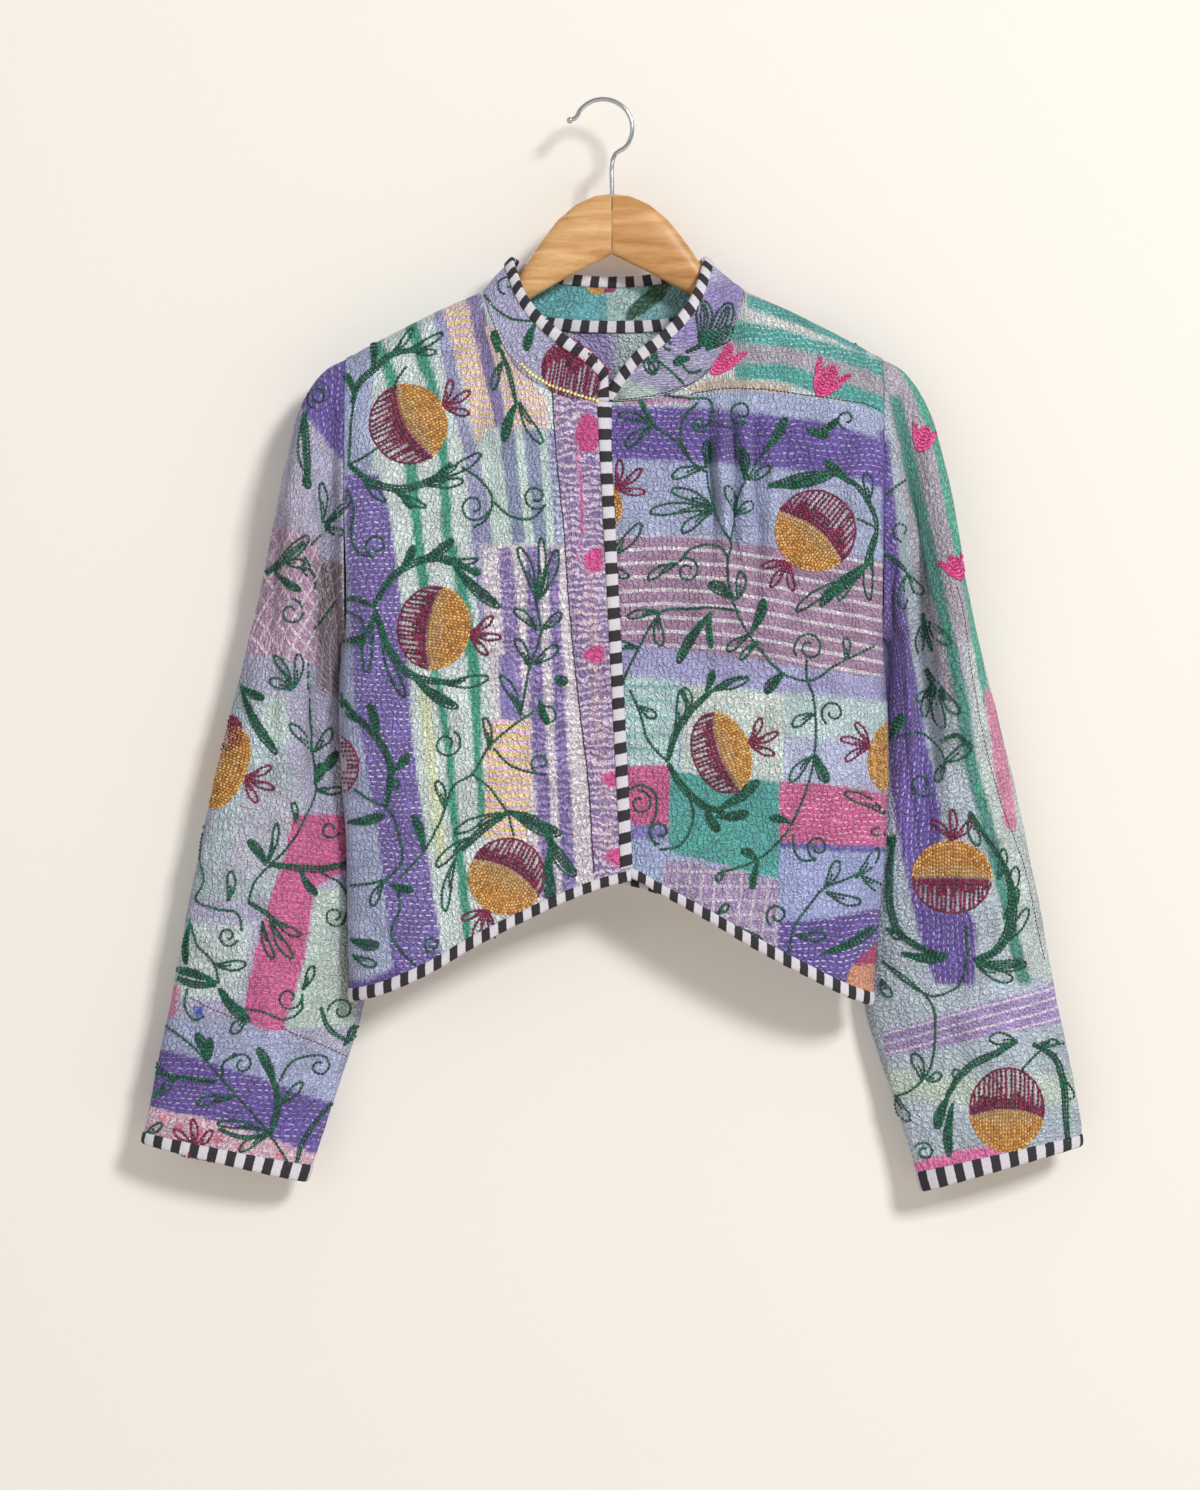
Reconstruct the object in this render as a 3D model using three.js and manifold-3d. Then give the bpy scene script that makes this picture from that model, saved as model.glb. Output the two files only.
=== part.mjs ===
// A short quilted kantha jacket hanging on a wooden hanger, in millimetres.
// X runs to the viewer's right, Y away from the viewer towards the wall, Z up.
// The origin is the underside of the hook's crown, the point that the whole thing hangs from.
// "Right" and "left" in names are the wearer's: the right front shows at the viewer's left.
import * as THREE from "three";
import { mergeVertices } from "three/addons/utils/BufferGeometryUtils.js";
import Module from "manifold-3d";

const wasm = await Module();
wasm.setup();

// Driving sizes
const CENTRE_X = 9; // the jacket's centre line
const WALL = 2.4; // layers of old cotton quilted together
const SEAM_GAP = 0.3; // between two pieces that are sewn together
const CURVED_GAP = 0.35; // added where both pieces curve along the seam
const ARMHOLE_AWAY = 222; // from the centre line to the armhole seam
const SHOULDER_Z = -215; // top of the armhole
const UNDERARM_Z = -445; // foot of the armhole
const ARMHOLE_FRONT = 26; // the armhole's depth in front of the side line
const ARMHOLE_BACK = 18;
const NECK_AWAY = 107; // where collar, shoulder seam, front and back meet
const NECK_RISE = 0.4; // how steeply the shoulder line would go on rising inside the neck
const BAND = 8; // width of the striped binding on each face
const BAND_CLEAR = 1.2; // a bound edge that ends at another binding stops this far from it
const BAND_SKIN = 1; // the binding's own thickness
const BAND_NOSE = 1.8; // how far the binding rounds past the cloth's edge
const UNDERLAP_DROP = 5.6; // how far the left front lies behind the right one at the centre
const UNDERLAP_REACH = 20; // how far past the centre line it stays so
const UNDERLAP_FADE = 70; // the width over which it comes level again
const SIDE_ROUND = { front: 75, back: 90 }; // how far in from the side seam a panel turns
const SHOULDER_TURN = 14; // the short turn of the cloth over the hanger
const SHOULDER_FALL = 110; // the long one below it

// Turns rows of numbers into objects with the column names given.
const table = (columns, rows) =>
  rows.map((row) => Object.fromEntries(columns.map((name, i) => [name, row[i]])));

// Side edges and depths of the body, down its length
const BODY = table(
  ["z", "awayRight", "awayLeft", "front", "back"],
  [
    [-100, 222, 222, 23, 17],
    [-215, 222, 222, 27, 20],
    [-330, 222, 222, 34, 24],
    [-445, 222, 222, 37, 26],
    [-470, 226, 224, 37, 26],
    [-505, 227, 226, 37, 26],
    [-560, 225, 227, 36, 26],
    [-615, 221, 225, 35, 26],
    [-670, 220, 220, 34, 25],
    [-750, 218, 213, 32, 24],
  ],
);
const SHOULDER = table(
  ["away", "z"],
  [[107, -158], [146, -175], [180, -192], [204, -204.5], [222, -215]],
);
const HEM = table(
  ["away", "right", "left"],
  [
    [-16, -642, -650],
    [8, -648, -640],
    [40, -660, -655],
    [74, -676, -674],
    [114, -697, -698],
    [157, -722, -721],
    [195, -738, -740],
    [230, -746, -753],
  ],
);
// The neck from centre front round to centre back: the seam on the body, then the collar's top edge above it
const NECK = table(
  ["away", "z", "topAway", "topY", "topZ"],
  [
    [22, -250, 6, -33, -226],
    [44, -246, 20, -33, -211],
    [62, -238, 36, -32, -200],
    [76, -228, 50, -30, -188],
    [88, -212, 62, -27, -175],
    [97, -194, 71, -22, -160],
    [103.5, -176, 75.5, -15.5, -147],
    [106.2, -166, 78.5, -8.5, -137.5],
    [107, -158, 79.5, -1, -131],
    [104, -164, 78, 10, -130.5],
    [94, -173, 72, 17, -134],
    [75, -180, 57, 21, -138],
    [50, -184, 38, 24, -141],
    [25, -186, 19, 26, -143],
    [0, -186.5, 0, 26.5, -143.5],
  ],
);
const NECK_FRONT_ROWS = 9; // rows of NECK on the front, the shoulder's own row last
const NECK_SEAM_Z = -252; // the seam's height at the centre front
const COLLAR_LEAN = -4.5; // how far the collar's top leans towards the wearer's right, at its widest
const COLLAR_WIDEST = 80;
const collarTop = (side, row) =>
  new THREE.Vector3(
    CENTRE_X + SIGN[side] * row.topAway + (COLLAR_LEAN * row.topAway) / COLLAR_WIDEST, row.topY, row.topZ);
// How far across the hem, from the bound edge to the side, each front column ends
const FRONT_SHARES = [0.06, 0.14, 0.22, 0.3, 0.37, 0.43, 0.48, 0.53, 0.58];
const SHOULDER_COLUMNS = table(
  ["away", "share"],
  [[122, 0.64], [138, 0.71], [156, 0.79], [174, 0.86], [192, 0.92], [205, 0.955], [215, 0.98], [222, 1]],
);
// Rows down a panel: a few close under the top edge, the rest shared out below them
const TOP_ROWS = [0, 2.5, 8, 17, 34, 62];
const ROWS_TO_UNDERARM = 3;
const ROWS_TO_HEM = 6;
const BACK_ARCH_AWAY = 60; // the back's hem is rounded over within this much of the centre
const BACK_ARCH_Z = -647;

// Centre-front edges: distance from the centre line, towards the panel's own side
const EDGES = {
  right: { top: 5.7, hem: -14 },
  left: { top: -10, hem: -12 },
};
// Soft folds: a trough or ridge between two heights, standing out of the cloth by its lift
const FOLDS = {
  right: table(
    ["away", "z", "endAway", "endZ", "lift", "width"],
    [[196, -250, 205, -470, 3.5, 15], [160, -300, 172, -560, -3, 18], [110, -420, 96, -700, 2.5, 20]],
  ),
  left: table(
    ["away", "z", "endAway", "endZ", "lift", "width"],
    [[92, -270, 96, -600, 3.5, 13], [128, -290, 140, -640, 3, 14], [196, -260, 204, -480, 3.5, 15]],
  ),
  back: table(
    ["away", "z", "endAway", "endZ", "lift", "width"],
    [[185, -260, 170, -640, 3.5, 18], [120, -300, 132, -700, -3, 20], [40, -380, 52, -660, 2.5, 22]],
  ),
};

// Rings of a sleeve, from the armhole to the cuff: its outer and inner edges and how far it stands out between them
const SLEEVE = table(
  ["outAway", "outZ", "outY", "inAway", "inZ", "inY", "front", "back"],
  [
    [222.15, -215, 0, 222.15, -445, 0, 26, 18],
    [236, -222, 1, 226, -449, 4, 27, 18],
    [248, -235, 2, 227.5, -454, 8, 28, 17],
    [260, -258, 3, 228, -461, 11, 29, 16],
    [269, -289, 4, 228, -470, 14, 30, 15],
    [278, -330, 5, 227, -482, 18, 30, 14],
    [288, -385, 6, 225.5, -499, 22, 30, 12],
    [303, -450, 7, 223, -522, 26, 31, 10],
    [318, -512, 8, 217, -553, 29, 31, 9],
    [331, -565, 9, 212, -592, 30, 31, 9],
    [343, -620, 9, 210, -640, 29, 31, 9],
    [355, -680, 9, 209, -695, 29, 30, 9],
    [367, -745, 9, 210, -748, 28, 27, 10],
    [378, -800, 8, 227, -806, 22, 22, 11],
    [386, -843, 7, 246, -864, 14, 18, 13],
  ],
);
const CUFFS = {
  right: { outAway: 390, outZ: -862, outY: 6, inAway: 256, inZ: -894, inY: 10, front: 16, back: 14 },
  left: { outAway: 387, outZ: -864, outY: 6, inAway: 257, inZ: -902, inY: 10, front: 17, back: 14 },
};
const CUFF_LIFT = { right: 0, left: 7 }; // how far the middle of the cuff's edge rises above a straight line
const RING_POINTS = 22;
// A sleeve's folds: where across its front (outer edge 1, inner edge -1), between which rings, and how high
const SLEEVE_FOLDS = {
  right: table(
    ["across", "endAcross", "from", "to", "lift", "width"],
    [[-0.1, -0.45, 1, 9, 6, 0.26], [0.35, 0.2, 3, 12, -4, 0.2], [-0.2, 0.3, 10, 15, 3, 0.25]],
  ),
  left: table(
    ["across", "endAcross", "from", "to", "lift", "width"],
    [[0.02, -0.25, 1, 10, -7, 0.2], [-0.5, -0.6, 2, 12, 5, 0.26], [0.3, 0.1, 9, 15, 3, 0.25]],
  ),
};

// Hanger and hook
const HANGER_X = 7.4;
const ARM_GAP = 0.15; // each arm's distance from the glued joint's middle
const ARM_SEAT = 100; // past this far out an arm lies under the shoulder, square with the jacket
const ARM = table(
  ["away", "top", "foot", "half", "y"],
  [
    [0, -76.5, -127, 6.5, -1],
    [14, -78, -134, 6.8, -1],
    [30, -85, -142, 7.2, -1.2],
    [46, -98.5, -151, 7.5, -1.5],
    [62, -119.5, -160, 7.5, -1.8],
    [78, -144, -171, 7.5, -2],
    [94, -160.5, -181, 7.5, -2.5],
    [110, -167, -189, 7.5, -3],
    [120, -168.5, -192, 7.5, -3],
    [134, -172.6, -196, 8, -3],
    [150, -179.6, -201.5, 8.5, -3],
    [165, -187.2, -207, 7.5, -3],
    [185, -198, -215, 6, -2.5],
    [203, -208, -221, 5, -2],
    [211, -213.5, -220, 3, -2],
  ],
);
const ARM_POINTS = 12;
const WIRE = 4; // hook wire diameter
const CROWN_RADIUS = 24.2; // of the hook's bend, to the middle of the wire
const HOOK_SEAT = 14; // how deep the stem goes into the wood
const HOOK_TIP = { x: -27.5, z: -15.5 };
const STEM_BEND_Z = -44;
const KNOB_RADIUS = 2.9;

const COLOURS = {
  front: 0xb7b3cf,
  sleeve: 0xa9a6c9,
  back: 0xb0b4c8,
  collar: 0xb9b4d2,
  binding: 0x8d8a93,
  wood: 0xd7a66c,
  steel: 0xc9ccd0,
};

// Reads a table at a value of its first column, straight between rows and level past its ends.
function read(rows, key, at, column) {
  const rising = rows[rows.length - 1][key] > rows[0][key];
  const ordered = rising ? rows : [...rows].reverse();
  if (at <= ordered[0][key]) return ordered[0][column];
  for (let i = 1; i < ordered.length; i++) {
    const [a, b] = [ordered[i - 1], ordered[i]];
    if (at <= b[key]) {
      return THREE.MathUtils.mapLinear(at, a[key], b[key], a[column], b[column]);
    }
  }
  return ordered[ordered.length - 1][column];
}

const mix = THREE.MathUtils.lerp;
const clamp = (v) => THREE.MathUtils.clamp(v, 0, 1);
// A quarter of a circle: steep at 0, level at 1.
const quarterRound = (v) => Math.sqrt(1 - (1 - clamp(v)) ** 2);
const bump = (v) => Math.exp(-v * v);
const SIGN = { right: -1, left: 1 };
const AWAY = { right: "awayRight", left: "awayLeft" };

// How far all of a panel's folds push its surface out at one place.
function foldLift(folds, away, z) {
  let lift = 0;
  for (const f of folds) {
    const down = (z - f.z) / (f.endZ - f.z);
    if (down <= 0 || down >= 1) continue;
    lift += f.lift * Math.sin(Math.PI * down) * bump((away - mix(f.away, f.endAway, down)) / f.width);
  }
  return lift;
}

const topZ = (away) =>
  away < NECK_AWAY
    ? SHOULDER[0].z + (NECK_AWAY - away) * NECK_RISE
    : read(SHOULDER, "away", away, "z");

// The body's middle surface, front or back, at a distance from the centre line and a height.
function bodyPoint(side, face, away, z) {
  const front = face === "front";
  const depth = read(BODY, "z", z, face);
  const armhole = clamp(1 - ((z - (SHOULDER_Z + UNDERARM_Z) / 2) / ((SHOULDER_Z - UNDERARM_Z) / 2)) ** 2);
  const atArmhole = (front ? ARMHOLE_FRONT : ARMHOLE_BACK) * Math.sqrt(armhole);
  const fall = topZ(away) - z;
  const full = depth * (quarterRound(fall / SHOULDER_TURN) + quarterRound(fall / SHOULDER_FALL)) / 2;
  const inside = read(BODY, "z", z, AWAY[side]) - away;
  let out = mix(atArmhole, full, quarterRound(inside / SIDE_ROUND[face]));
  out += foldLift(front ? FOLDS[side] : FOLDS.back, away, z) * clamp(inside / 20);
  const nearCentre = clamp(1 - (away - UNDERLAP_REACH) / UNDERLAP_FADE);
  if (front && side === "left") out -= UNDERLAP_DROP * nearCentre * nearCentre * (3 - 2 * nearCentre);
  const y = Math.max(out, SEAM_GAP / 2) * (front ? -1 : 1);
  return new THREE.Vector3(CENTRE_X + SIGN[side] * away, y, z);
}

// Normals of a grid of points, by differences between neighbours; closed grids wrap round.
function gridNormals(mid, closed, outward) {
  return mid.map((column, i) =>
    column.map((p, j) => {
      const n = mid.length;
      const before = mid[closed ? (i + n - 1) % n : Math.max(i - 1, 0)][j];
      const after = mid[closed ? (i + 1) % n : Math.min(i + 1, n - 1)][j];
      const up = column[Math.max(j - 1, 0)];
      const down = column[Math.min(j + 1, column.length - 1)];
      const normal = after.clone().sub(before).cross(down.clone().sub(up)).normalize();
      return normal.dot(outward(p)) < 0 ? normal.negate() : normal;
    }),
  );
}

// Turns a seam's edge flat in one axis, so that the two pieces meet face to face there.
function flatten(normal, axis) {
  normal[axis] = 0;
  normal.normalize();
}

// A mesh from points and faces of three or four corners, turned so that it faces outwards.
function closedMesh(name, points, faces, colour) {
  const index = faces.flatMap(([a, b, c, d]) => (d === undefined ? [a, b, c] : [a, b, c, a, c, d]));
  let volume = 0;
  for (let i = 0; i < index.length; i += 3) {
    const [a, b, c] = [points[index[i]], points[index[i + 1]], points[index[i + 2]]];
    volume += a.dot(b.clone().cross(c));
  }
  if (volume < 0) index.reverse();
  const geometry = new THREE.BufferGeometry().setFromPoints(points);
  geometry.setIndex(index);
  return finishedMesh(name, geometry, colour);
}

function finishedMesh(name, geometry, colour, roughness = 0.9, metalness = 0) {
  geometry.computeVertexNormals();
  const material = new THREE.MeshStandardMaterial({ color: colour, roughness, metalness });
  const mesh = new THREE.Mesh(geometry, material);
  mesh.name = name;
  return mesh;
}

// Cloth with a wall: a grid's points moved out and in by half the wall, closed round its edges.
function clothMesh(name, grid, colour) {
  const { mid, normal, closed } = grid;
  const columns = mid.length;
  const rows = mid[0].length;
  const points = [];
  for (const way of [1, -1]) {
    mid.forEach((column, i) =>
      column.forEach((p, j) => points.push(p.clone().addScaledVector(normal[i][j], (way * WALL) / 2))),
    );
  }
  const at = (layer, i, j) => layer * columns * rows + (i % columns) * rows + j;
  const faces = [];
  const strips = closed ? columns : columns - 1;
  for (let i = 0; i < strips; i++) {
    for (let j = 0; j < rows - 1; j++) {
      faces.push([at(0, i, j), at(0, i + 1, j), at(0, i + 1, j + 1), at(0, i, j + 1)]);
      faces.push([at(1, i, j), at(1, i, j + 1), at(1, i + 1, j + 1), at(1, i + 1, j)]);
    }
    const last = rows - 1;
    faces.push([at(1, i, 0), at(1, i + 1, 0), at(0, i + 1, 0), at(0, i, 0)]);
    faces.push([at(0, i, last), at(0, i + 1, last), at(1, i + 1, last), at(1, i, last)]);
  }
  if (!closed) {
    const last = columns - 1;
    for (let j = 0; j < rows - 1; j++) {
      faces.push([at(0, 0, j), at(0, 0, j + 1), at(1, 0, j + 1), at(1, 0, j)]);
      faces.push([at(1, last, j), at(1, last, j + 1), at(0, last, j + 1), at(0, last, j)]);
    }
  }
  return closedMesh(name, points, faces, colour);
}

// A bar swept through rings of points; its ends are capped with the faces given, or it closes on itself.
// Its four-cornered faces are cut from the first corner, or the other way for the corners listed in turned.
function sweptMesh(name, rings, cap, colour, turned = []) {
  const size = rings[0].length;
  const closed = cap === null;
  const faces = [];
  const at = (i, k) => (i % rings.length) * size + (k % size);
  for (let i = 0; i < (closed ? rings.length : rings.length - 1); i++) {
    for (let k = 0; k < size; k++) {
      const face = [at(i, k), at(i, k + 1), at(i + 1, k + 1), at(i + 1, k)];
      if (turned.includes(k)) face.push(face.shift());
      faces.push(face);
    }
  }
  if (!closed) {
    const last = (rings.length - 1) * size;
    cap.forEach((face) => faces.push([...face].reverse(), face.map((k) => last + k)));
  }
  return closedMesh(name, rings.flat(), faces, colour);
}

// A binding folded round a cloth edge: each station gives the edge, a point BAND inside it, and their normals.
const BINDING_CAP = [
  [0, 1, 8, 9], [1, 2, 8], [2, 3, 7, 8], [3, 4, 7], [4, 5, 6, 7],
];
const BINDING_TURNED = [4, 7, 8]; // so that its slot is cut into the same triangles as the cloth in it
function bindingMesh(name, stations, closed) {
  const slot = WALL / 2 + SEAM_GAP + CURVED_GAP / 2;
  const skin = slot + BAND_SKIN;
  const rings = stations.map(({ edge, inner, edgeNormal, innerNormal }) => {
    const out = edge.clone().sub(inner).normalize();
    const place = (base, normal, height, reach = 0) =>
      base.clone().addScaledVector(normal, height).addScaledVector(out, reach);
    return [
      place(inner, innerNormal, skin),
      place(edge, edgeNormal, skin),
      place(edge, edgeNormal, skin * 0.5, BAND_NOSE),
      place(edge, edgeNormal, -skin * 0.5, BAND_NOSE),
      place(edge, edgeNormal, -skin),
      place(inner, innerNormal, -skin),
      place(inner, innerNormal, -slot),
      place(edge, edgeNormal, -slot, SEAM_GAP),
      place(edge, edgeNormal, slot, SEAM_GAP),
      place(inner, innerNormal, slot),
    ];
  });
  return sweptMesh(name, rings, closed ? null : BINDING_CAP, COLOURS.binding, BINDING_TURNED);
}

const station = (grid, i, j, inI, inJ) => ({
  edge: grid.mid[i][j],
  inner: grid.mid[inI][inJ],
  edgeNormal: grid.normal[i][j],
  innerNormal: grid.normal[inI][inJ],
});

// Heights of a panel's rows down one column, with the underarm on a row of its own.
function rowHeights(top, hem, underarmShare) {
  const last = TOP_ROWS[TOP_ROWS.length - 1];
  const end = hem + BAND + BAND_CLEAR;
  const heights = TOP_ROWS.map((drop) => top - drop);
  for (let k = 1; k <= ROWS_TO_UNDERARM; k++) {
    heights.push(mix(top - last, end, (underarmShare * k) / ROWS_TO_UNDERARM));
  }
  for (let k = 1; k <= ROWS_TO_HEM; k++) {
    heights.push(mix(top - last, end, mix(underarmShare, 1, k / ROWS_TO_HEM)));
  }
  return [...heights, hem + BAND, hem];
}

const UNDERARM_ROW = TOP_ROWS.length + ROWS_TO_UNDERARM - 1;

// One panel from its columns: each has a side, a top and a distance from the centre line at top and hem.
function panelGrid(face, columns, hemZ) {
  const end = columns[columns.length - 1];
  const last = TOP_ROWS[TOP_ROWS.length - 1];
  const sideHem = hemZ(end.side, end.hemAway);
  const underarmShare =
    (SHOULDER_Z - last - UNDERARM_Z) / (SHOULDER_Z - last - sideHem - BAND - BAND_CLEAR);
  const mid = columns.map((c) => {
    const hem = hemZ(c.side, c.hemAway);
    return rowHeights(c.topZ, hem, underarmShare).map((z) => {
      const down = (c.topZ - z) / (c.topZ - hem);
      const away = c.atSide ? read(BODY, "z", z, AWAY[c.side]) - (z > UNDERARM_Z ? SEAM_GAP / 2 : 0)
        : mix(c.topAway, c.hemAway, down);
      return bodyPoint(c.side, face, away, z);
    });
  });
  const outward = face === "front" ? new THREE.Vector3(0, -1, 0) : new THREE.Vector3(0, 1, 0);
  const normal = gridNormals(mid, false, () => outward);
  columns.forEach((c, i) => {
    if (c.onShoulder) flatten(normal[i][0], "y");
    if (!c.atSide) return;
    normal[i].forEach((n, j) => {
      if (j < UNDERARM_ROW && j > 0) flatten(n, "x");
      if (j === UNDERARM_ROW) n.set(0, 0, -1);
      if (j > UNDERARM_ROW) n.set(SIGN[c.side], 0, 0);
      if (j === 0) n.set(0, 0, 1);
    });
  });
  return { mid, normal, closed: false };
}

const hemHeight = (side, away) => read(HEM, "away", away, side);

function frontGrid(side) {
  const edge = EDGES[side];
  const sideHemAway = read(BODY, "z", hemHeight(side, 215), AWAY[side]);
  const bandHem = edge.hem + BAND;
  const columns = [
    { side, topAway: edge.top, topZ: NECK_SEAM_Z, hemAway: edge.hem },
    { side, topAway: edge.top + BAND, topZ: NECK_SEAM_Z + 0.6, hemAway: bandHem },
  ];
  FRONT_SHARES.forEach((share, i) => {
    const row = NECK[i];
    const onShoulder = i === NECK_FRONT_ROWS - 1;
    columns.push({
      side, topAway: row.away, topZ: row.z, hemAway: mix(bandHem, sideHemAway, share), onShoulder,
    });
  });
  SHOULDER_COLUMNS.forEach(({ away, share }) => {
    const atSide = share === 1;
    columns.push({
      side, topAway: away, topZ: topZ(away), hemAway: mix(bandHem, sideHemAway, share), onShoulder: true, atSide,
    });
  });
  return panelGrid("front", columns, hemHeight);
}

function backGrid() {
  const half = (side) => {
    const sideHemAway = read(BODY, "z", hemHeight(side, 215), AWAY[side]);
    const spread = sideHemAway / ARMHOLE_AWAY;
    const neck = NECK.slice(NECK_FRONT_ROWS - 1).reverse().map((row) => ({
      side, topAway: row.away, topZ: row.z, hemAway: row.away * spread, onShoulder: row.away === NECK_AWAY,
    }));
    const shoulder = SHOULDER_COLUMNS.map(({ away, share }) => ({
      side, topAway: away, topZ: topZ(away), hemAway: away * spread, onShoulder: true, atSide: share === 1,
    }));
    return [...neck, ...shoulder];
  };
  // the back's hem is arched as the fronts' are, rounded over where they meet
  const backHem = (side, away) =>
    away > BACK_ARCH_AWAY
      ? hemHeight(side, away)
      : mix(BACK_ARCH_Z, hemHeight(side, BACK_ARCH_AWAY), (away / BACK_ARCH_AWAY) ** 1.5);
  return panelGrid("back", [...half("right").reverse(), ...half("left").slice(1)], backHem);
}

// A sleeve's tube: each ring is a flattened oval between the sleeve's outer and inner edges.
function sleeveGrid(side) {
  const rings = [...SLEEVE, CUFFS[side]];
  // one more ring a band's width above the cuff's edge carries the binding
  const cuff = rings.length - 1;
  const share = BAND / Math.hypot(rings[cuff].outAway - rings[cuff - 1].outAway, rings[cuff].outZ - rings[cuff - 1].outZ);
  const bandRing = Object.fromEntries(
    Object.keys(CUFFS[side]).map((key) => [key, mix(CUFFS[side][key], SLEEVE[cuff - 1][key], share)]),
  );
  rings.splice(cuff, 0, bandRing);
  const mid = [];
  for (let k = 0; k < RING_POINTS; k++) {
    const angle = (2 * Math.PI * k) / RING_POINTS;
    const across = Math.cos(angle);
    const depth = Math.sin(angle);
    mid.push(
      rings.map((r, j) => {
        const away = mix(r.inAway, r.outAway, (across + 1) / 2);
        let out = depth * (depth > 0 ? r.front : r.back);
        if (depth > 0) {
          for (const f of SLEEVE_FOLDS[side]) {
            const down = (j - f.from) / (f.to - f.from);
            if (down <= 0 || down >= 1) continue;
            const middle = mix(f.across, f.endAcross, down);
            out += f.lift * Math.sin(Math.PI * down) * bump((across - middle) / f.width) * depth;
          }
        }
        const y = mix(r.inY, r.outY, (across + 1) / 2) - out;
        let z = mix(r.inZ, r.outZ, (across + 1) / 2);
        if (j >= cuff) z += CUFF_LIFT[side] * (1 - across * across);
        return new THREE.Vector3(CENTRE_X + SIGN[side] * away, y, z);
      }),
    );
  }
  const centres = rings.map((r, j) =>
    mid.reduce((sum, column) => sum.add(column[j]), new THREE.Vector3()).divideScalar(RING_POINTS));
  const normal = gridNormals(mid, true, () => new THREE.Vector3(0, 0, 1));
  mid.forEach((column, k) =>
    column.forEach((p, j) => {
      if (normal[k][j].dot(p.clone().sub(centres[j])) < 0) normal[k][j].negate();
    }),
  );
  normal.forEach((column) => flatten(column[0], "x"));
  return { mid, normal, closed: true };
}

// The collar: columns from the right front's edge round the back of the neck to the left front's edge.
function collarGrid(frontRight, frontLeft, back) {
  const shares = [0, 0.45];
  const seams = [];
  const tops = [];
  const addFront = (side, grid, reversed) => {
    const rows = NECK.slice(0, NECK_FRONT_ROWS);
    const list = rows.map((row, i) => ({
      seam: grid.mid[i + 2][0],
      body: grid.normal[i + 2][0],
      top: collarTop(side, row),
    }));
    const drop = side === "left" ? UNDERLAP_DROP : 0;
    list.slice(0, 4).forEach((s, i) => (s.top.y += drop * (1 - i / 4)));
    return reversed ? list.reverse() : list;
  };
  const backHalf = (side) => {
    const rows = NECK.slice(NECK_FRONT_ROWS);
    const centre = (back.mid.length - 1) / 2;
    return rows.map((row, i) => {
      const column = centre + SIGN[side] * (rows.length - 1 - i);
      return {
        seam: back.mid[column][0],
        body: back.normal[column][0],
        top: collarTop(side, row),
      };
    });
  };
  const stations = [
    ...addFront("right", frontRight, false),
    ...backHalf("right"),
    ...backHalf("left").reverse().slice(1),
    ...addFront("left", frontLeft, true),
  ];
  for (const s of stations) {
    seams.push(s.seam);
    tops.push(s.top);
  }
  const centre = new THREE.Vector3(CENTRE_X, 0, 0);
  const outward = (p) => new THREE.Vector3(p.x - centre.x, p.y * 2.5, 12);
  const columns = stations.map((s) => {
    const height = s.seam.distanceTo(s.top);
    return [...shares, 1 - BAND / height, 1].map((v) => s.seam.clone().lerp(s.top, v));
  });
  const raw = gridNormals(columns, false, outward);
  stations.forEach((s, i) => {
    // body and collar share one thickening direction along the seam, so they meet face to face
    const shared = raw[i][0].clone().add(s.body).normalize();
    if (i === NECK_FRONT_ROWS - 1 || i === stations.length - NECK_FRONT_ROWS) flatten(shared, "y");
    s.body.copy(shared);
    raw[i][0].copy(shared);
    const up = s.top.clone().sub(s.seam);
    up.addScaledVector(shared, -up.dot(shared)).normalize();
    columns[i][0].addScaledVector(up, SEAM_GAP + CURVED_GAP);
  });
  // the two ends stand on the fronts' bound edges, their own edge running up from them
  const endColumn = (side, grid, neighbour) => {
    const edge = grid.mid[0][0].clone();
    const inner = grid.mid[1][0].clone();
    const lift = new THREE.Vector3(0, 0, SEAM_GAP + CURVED_GAP);
    const away = inner.clone().sub(edge).normalize();
    const start = inner.clone().addScaledVector(away, 1.5);
    const points = [start, inner.clone().lerp(start, 0.5), inner, edge];
    return { points: points.map((p) => p.add(lift)), normals: points.map(() => grid.normal[0][0].clone()), neighbour };
  };
  const right = endColumn("right", frontRight);
  const left = endColumn("left", frontLeft);
  const mid = [right.points, ...columns, left.points];
  const normal = [right.normals, ...raw, left.normals];
  return { mid, normal, closed: false };
}

// The tape that covers the neck seam inside the back.
function neckTape(collar) {
  const first = NECK_FRONT_ROWS + 2;
  const last = collar.mid.length - 1 - first;
  const near = WALL / 2 + SEAM_GAP + CURVED_GAP;
  const rings = [];
  for (let i = first; i <= last; i++) {
    const seam = collar.mid[i][0];
    const normal = collar.normal[i][0];
    const up = collar.mid[i][1].clone().sub(seam);
    up.addScaledVector(normal, -up.dot(normal)).normalize();
    const place = (height, reach) =>
      seam.clone().addScaledVector(normal, -height).addScaledVector(up, reach);
    const half = BAND / 2 + 1;
    rings.push([place(near, half), place(near + 1, half), place(near + 1, -half), place(near, -half)]);
  }
  return sweptMesh("neck_tape", rings, [[0, 1, 2, 3]], COLOURS.binding);
}

// manifold-3d solids and back, for the bore that the hook's stem sits in
function toSolid(geometry) {
  const bare = geometry.index ? geometry.toNonIndexed() : geometry.clone();
  bare.deleteAttribute("normal");
  bare.deleteAttribute("uv");
  const merged = mergeVertices(bare, 1e-3);
  return new wasm.Manifold(
    new wasm.Mesh({
      numProp: 3,
      vertProperties: merged.attributes.position.array,
      triVerts: new Uint32Array(merged.index.array),
    }),
  );
}

function toGeometry(solid) {
  const mesh = solid.getMesh();
  const geometry = new THREE.BufferGeometry();
  geometry.setAttribute("position", new THREE.BufferAttribute(new Float32Array(mesh.vertProperties), 3));
  geometry.setIndex(new THREE.BufferAttribute(mesh.triVerts, 1));
  return geometry;
}

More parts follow.
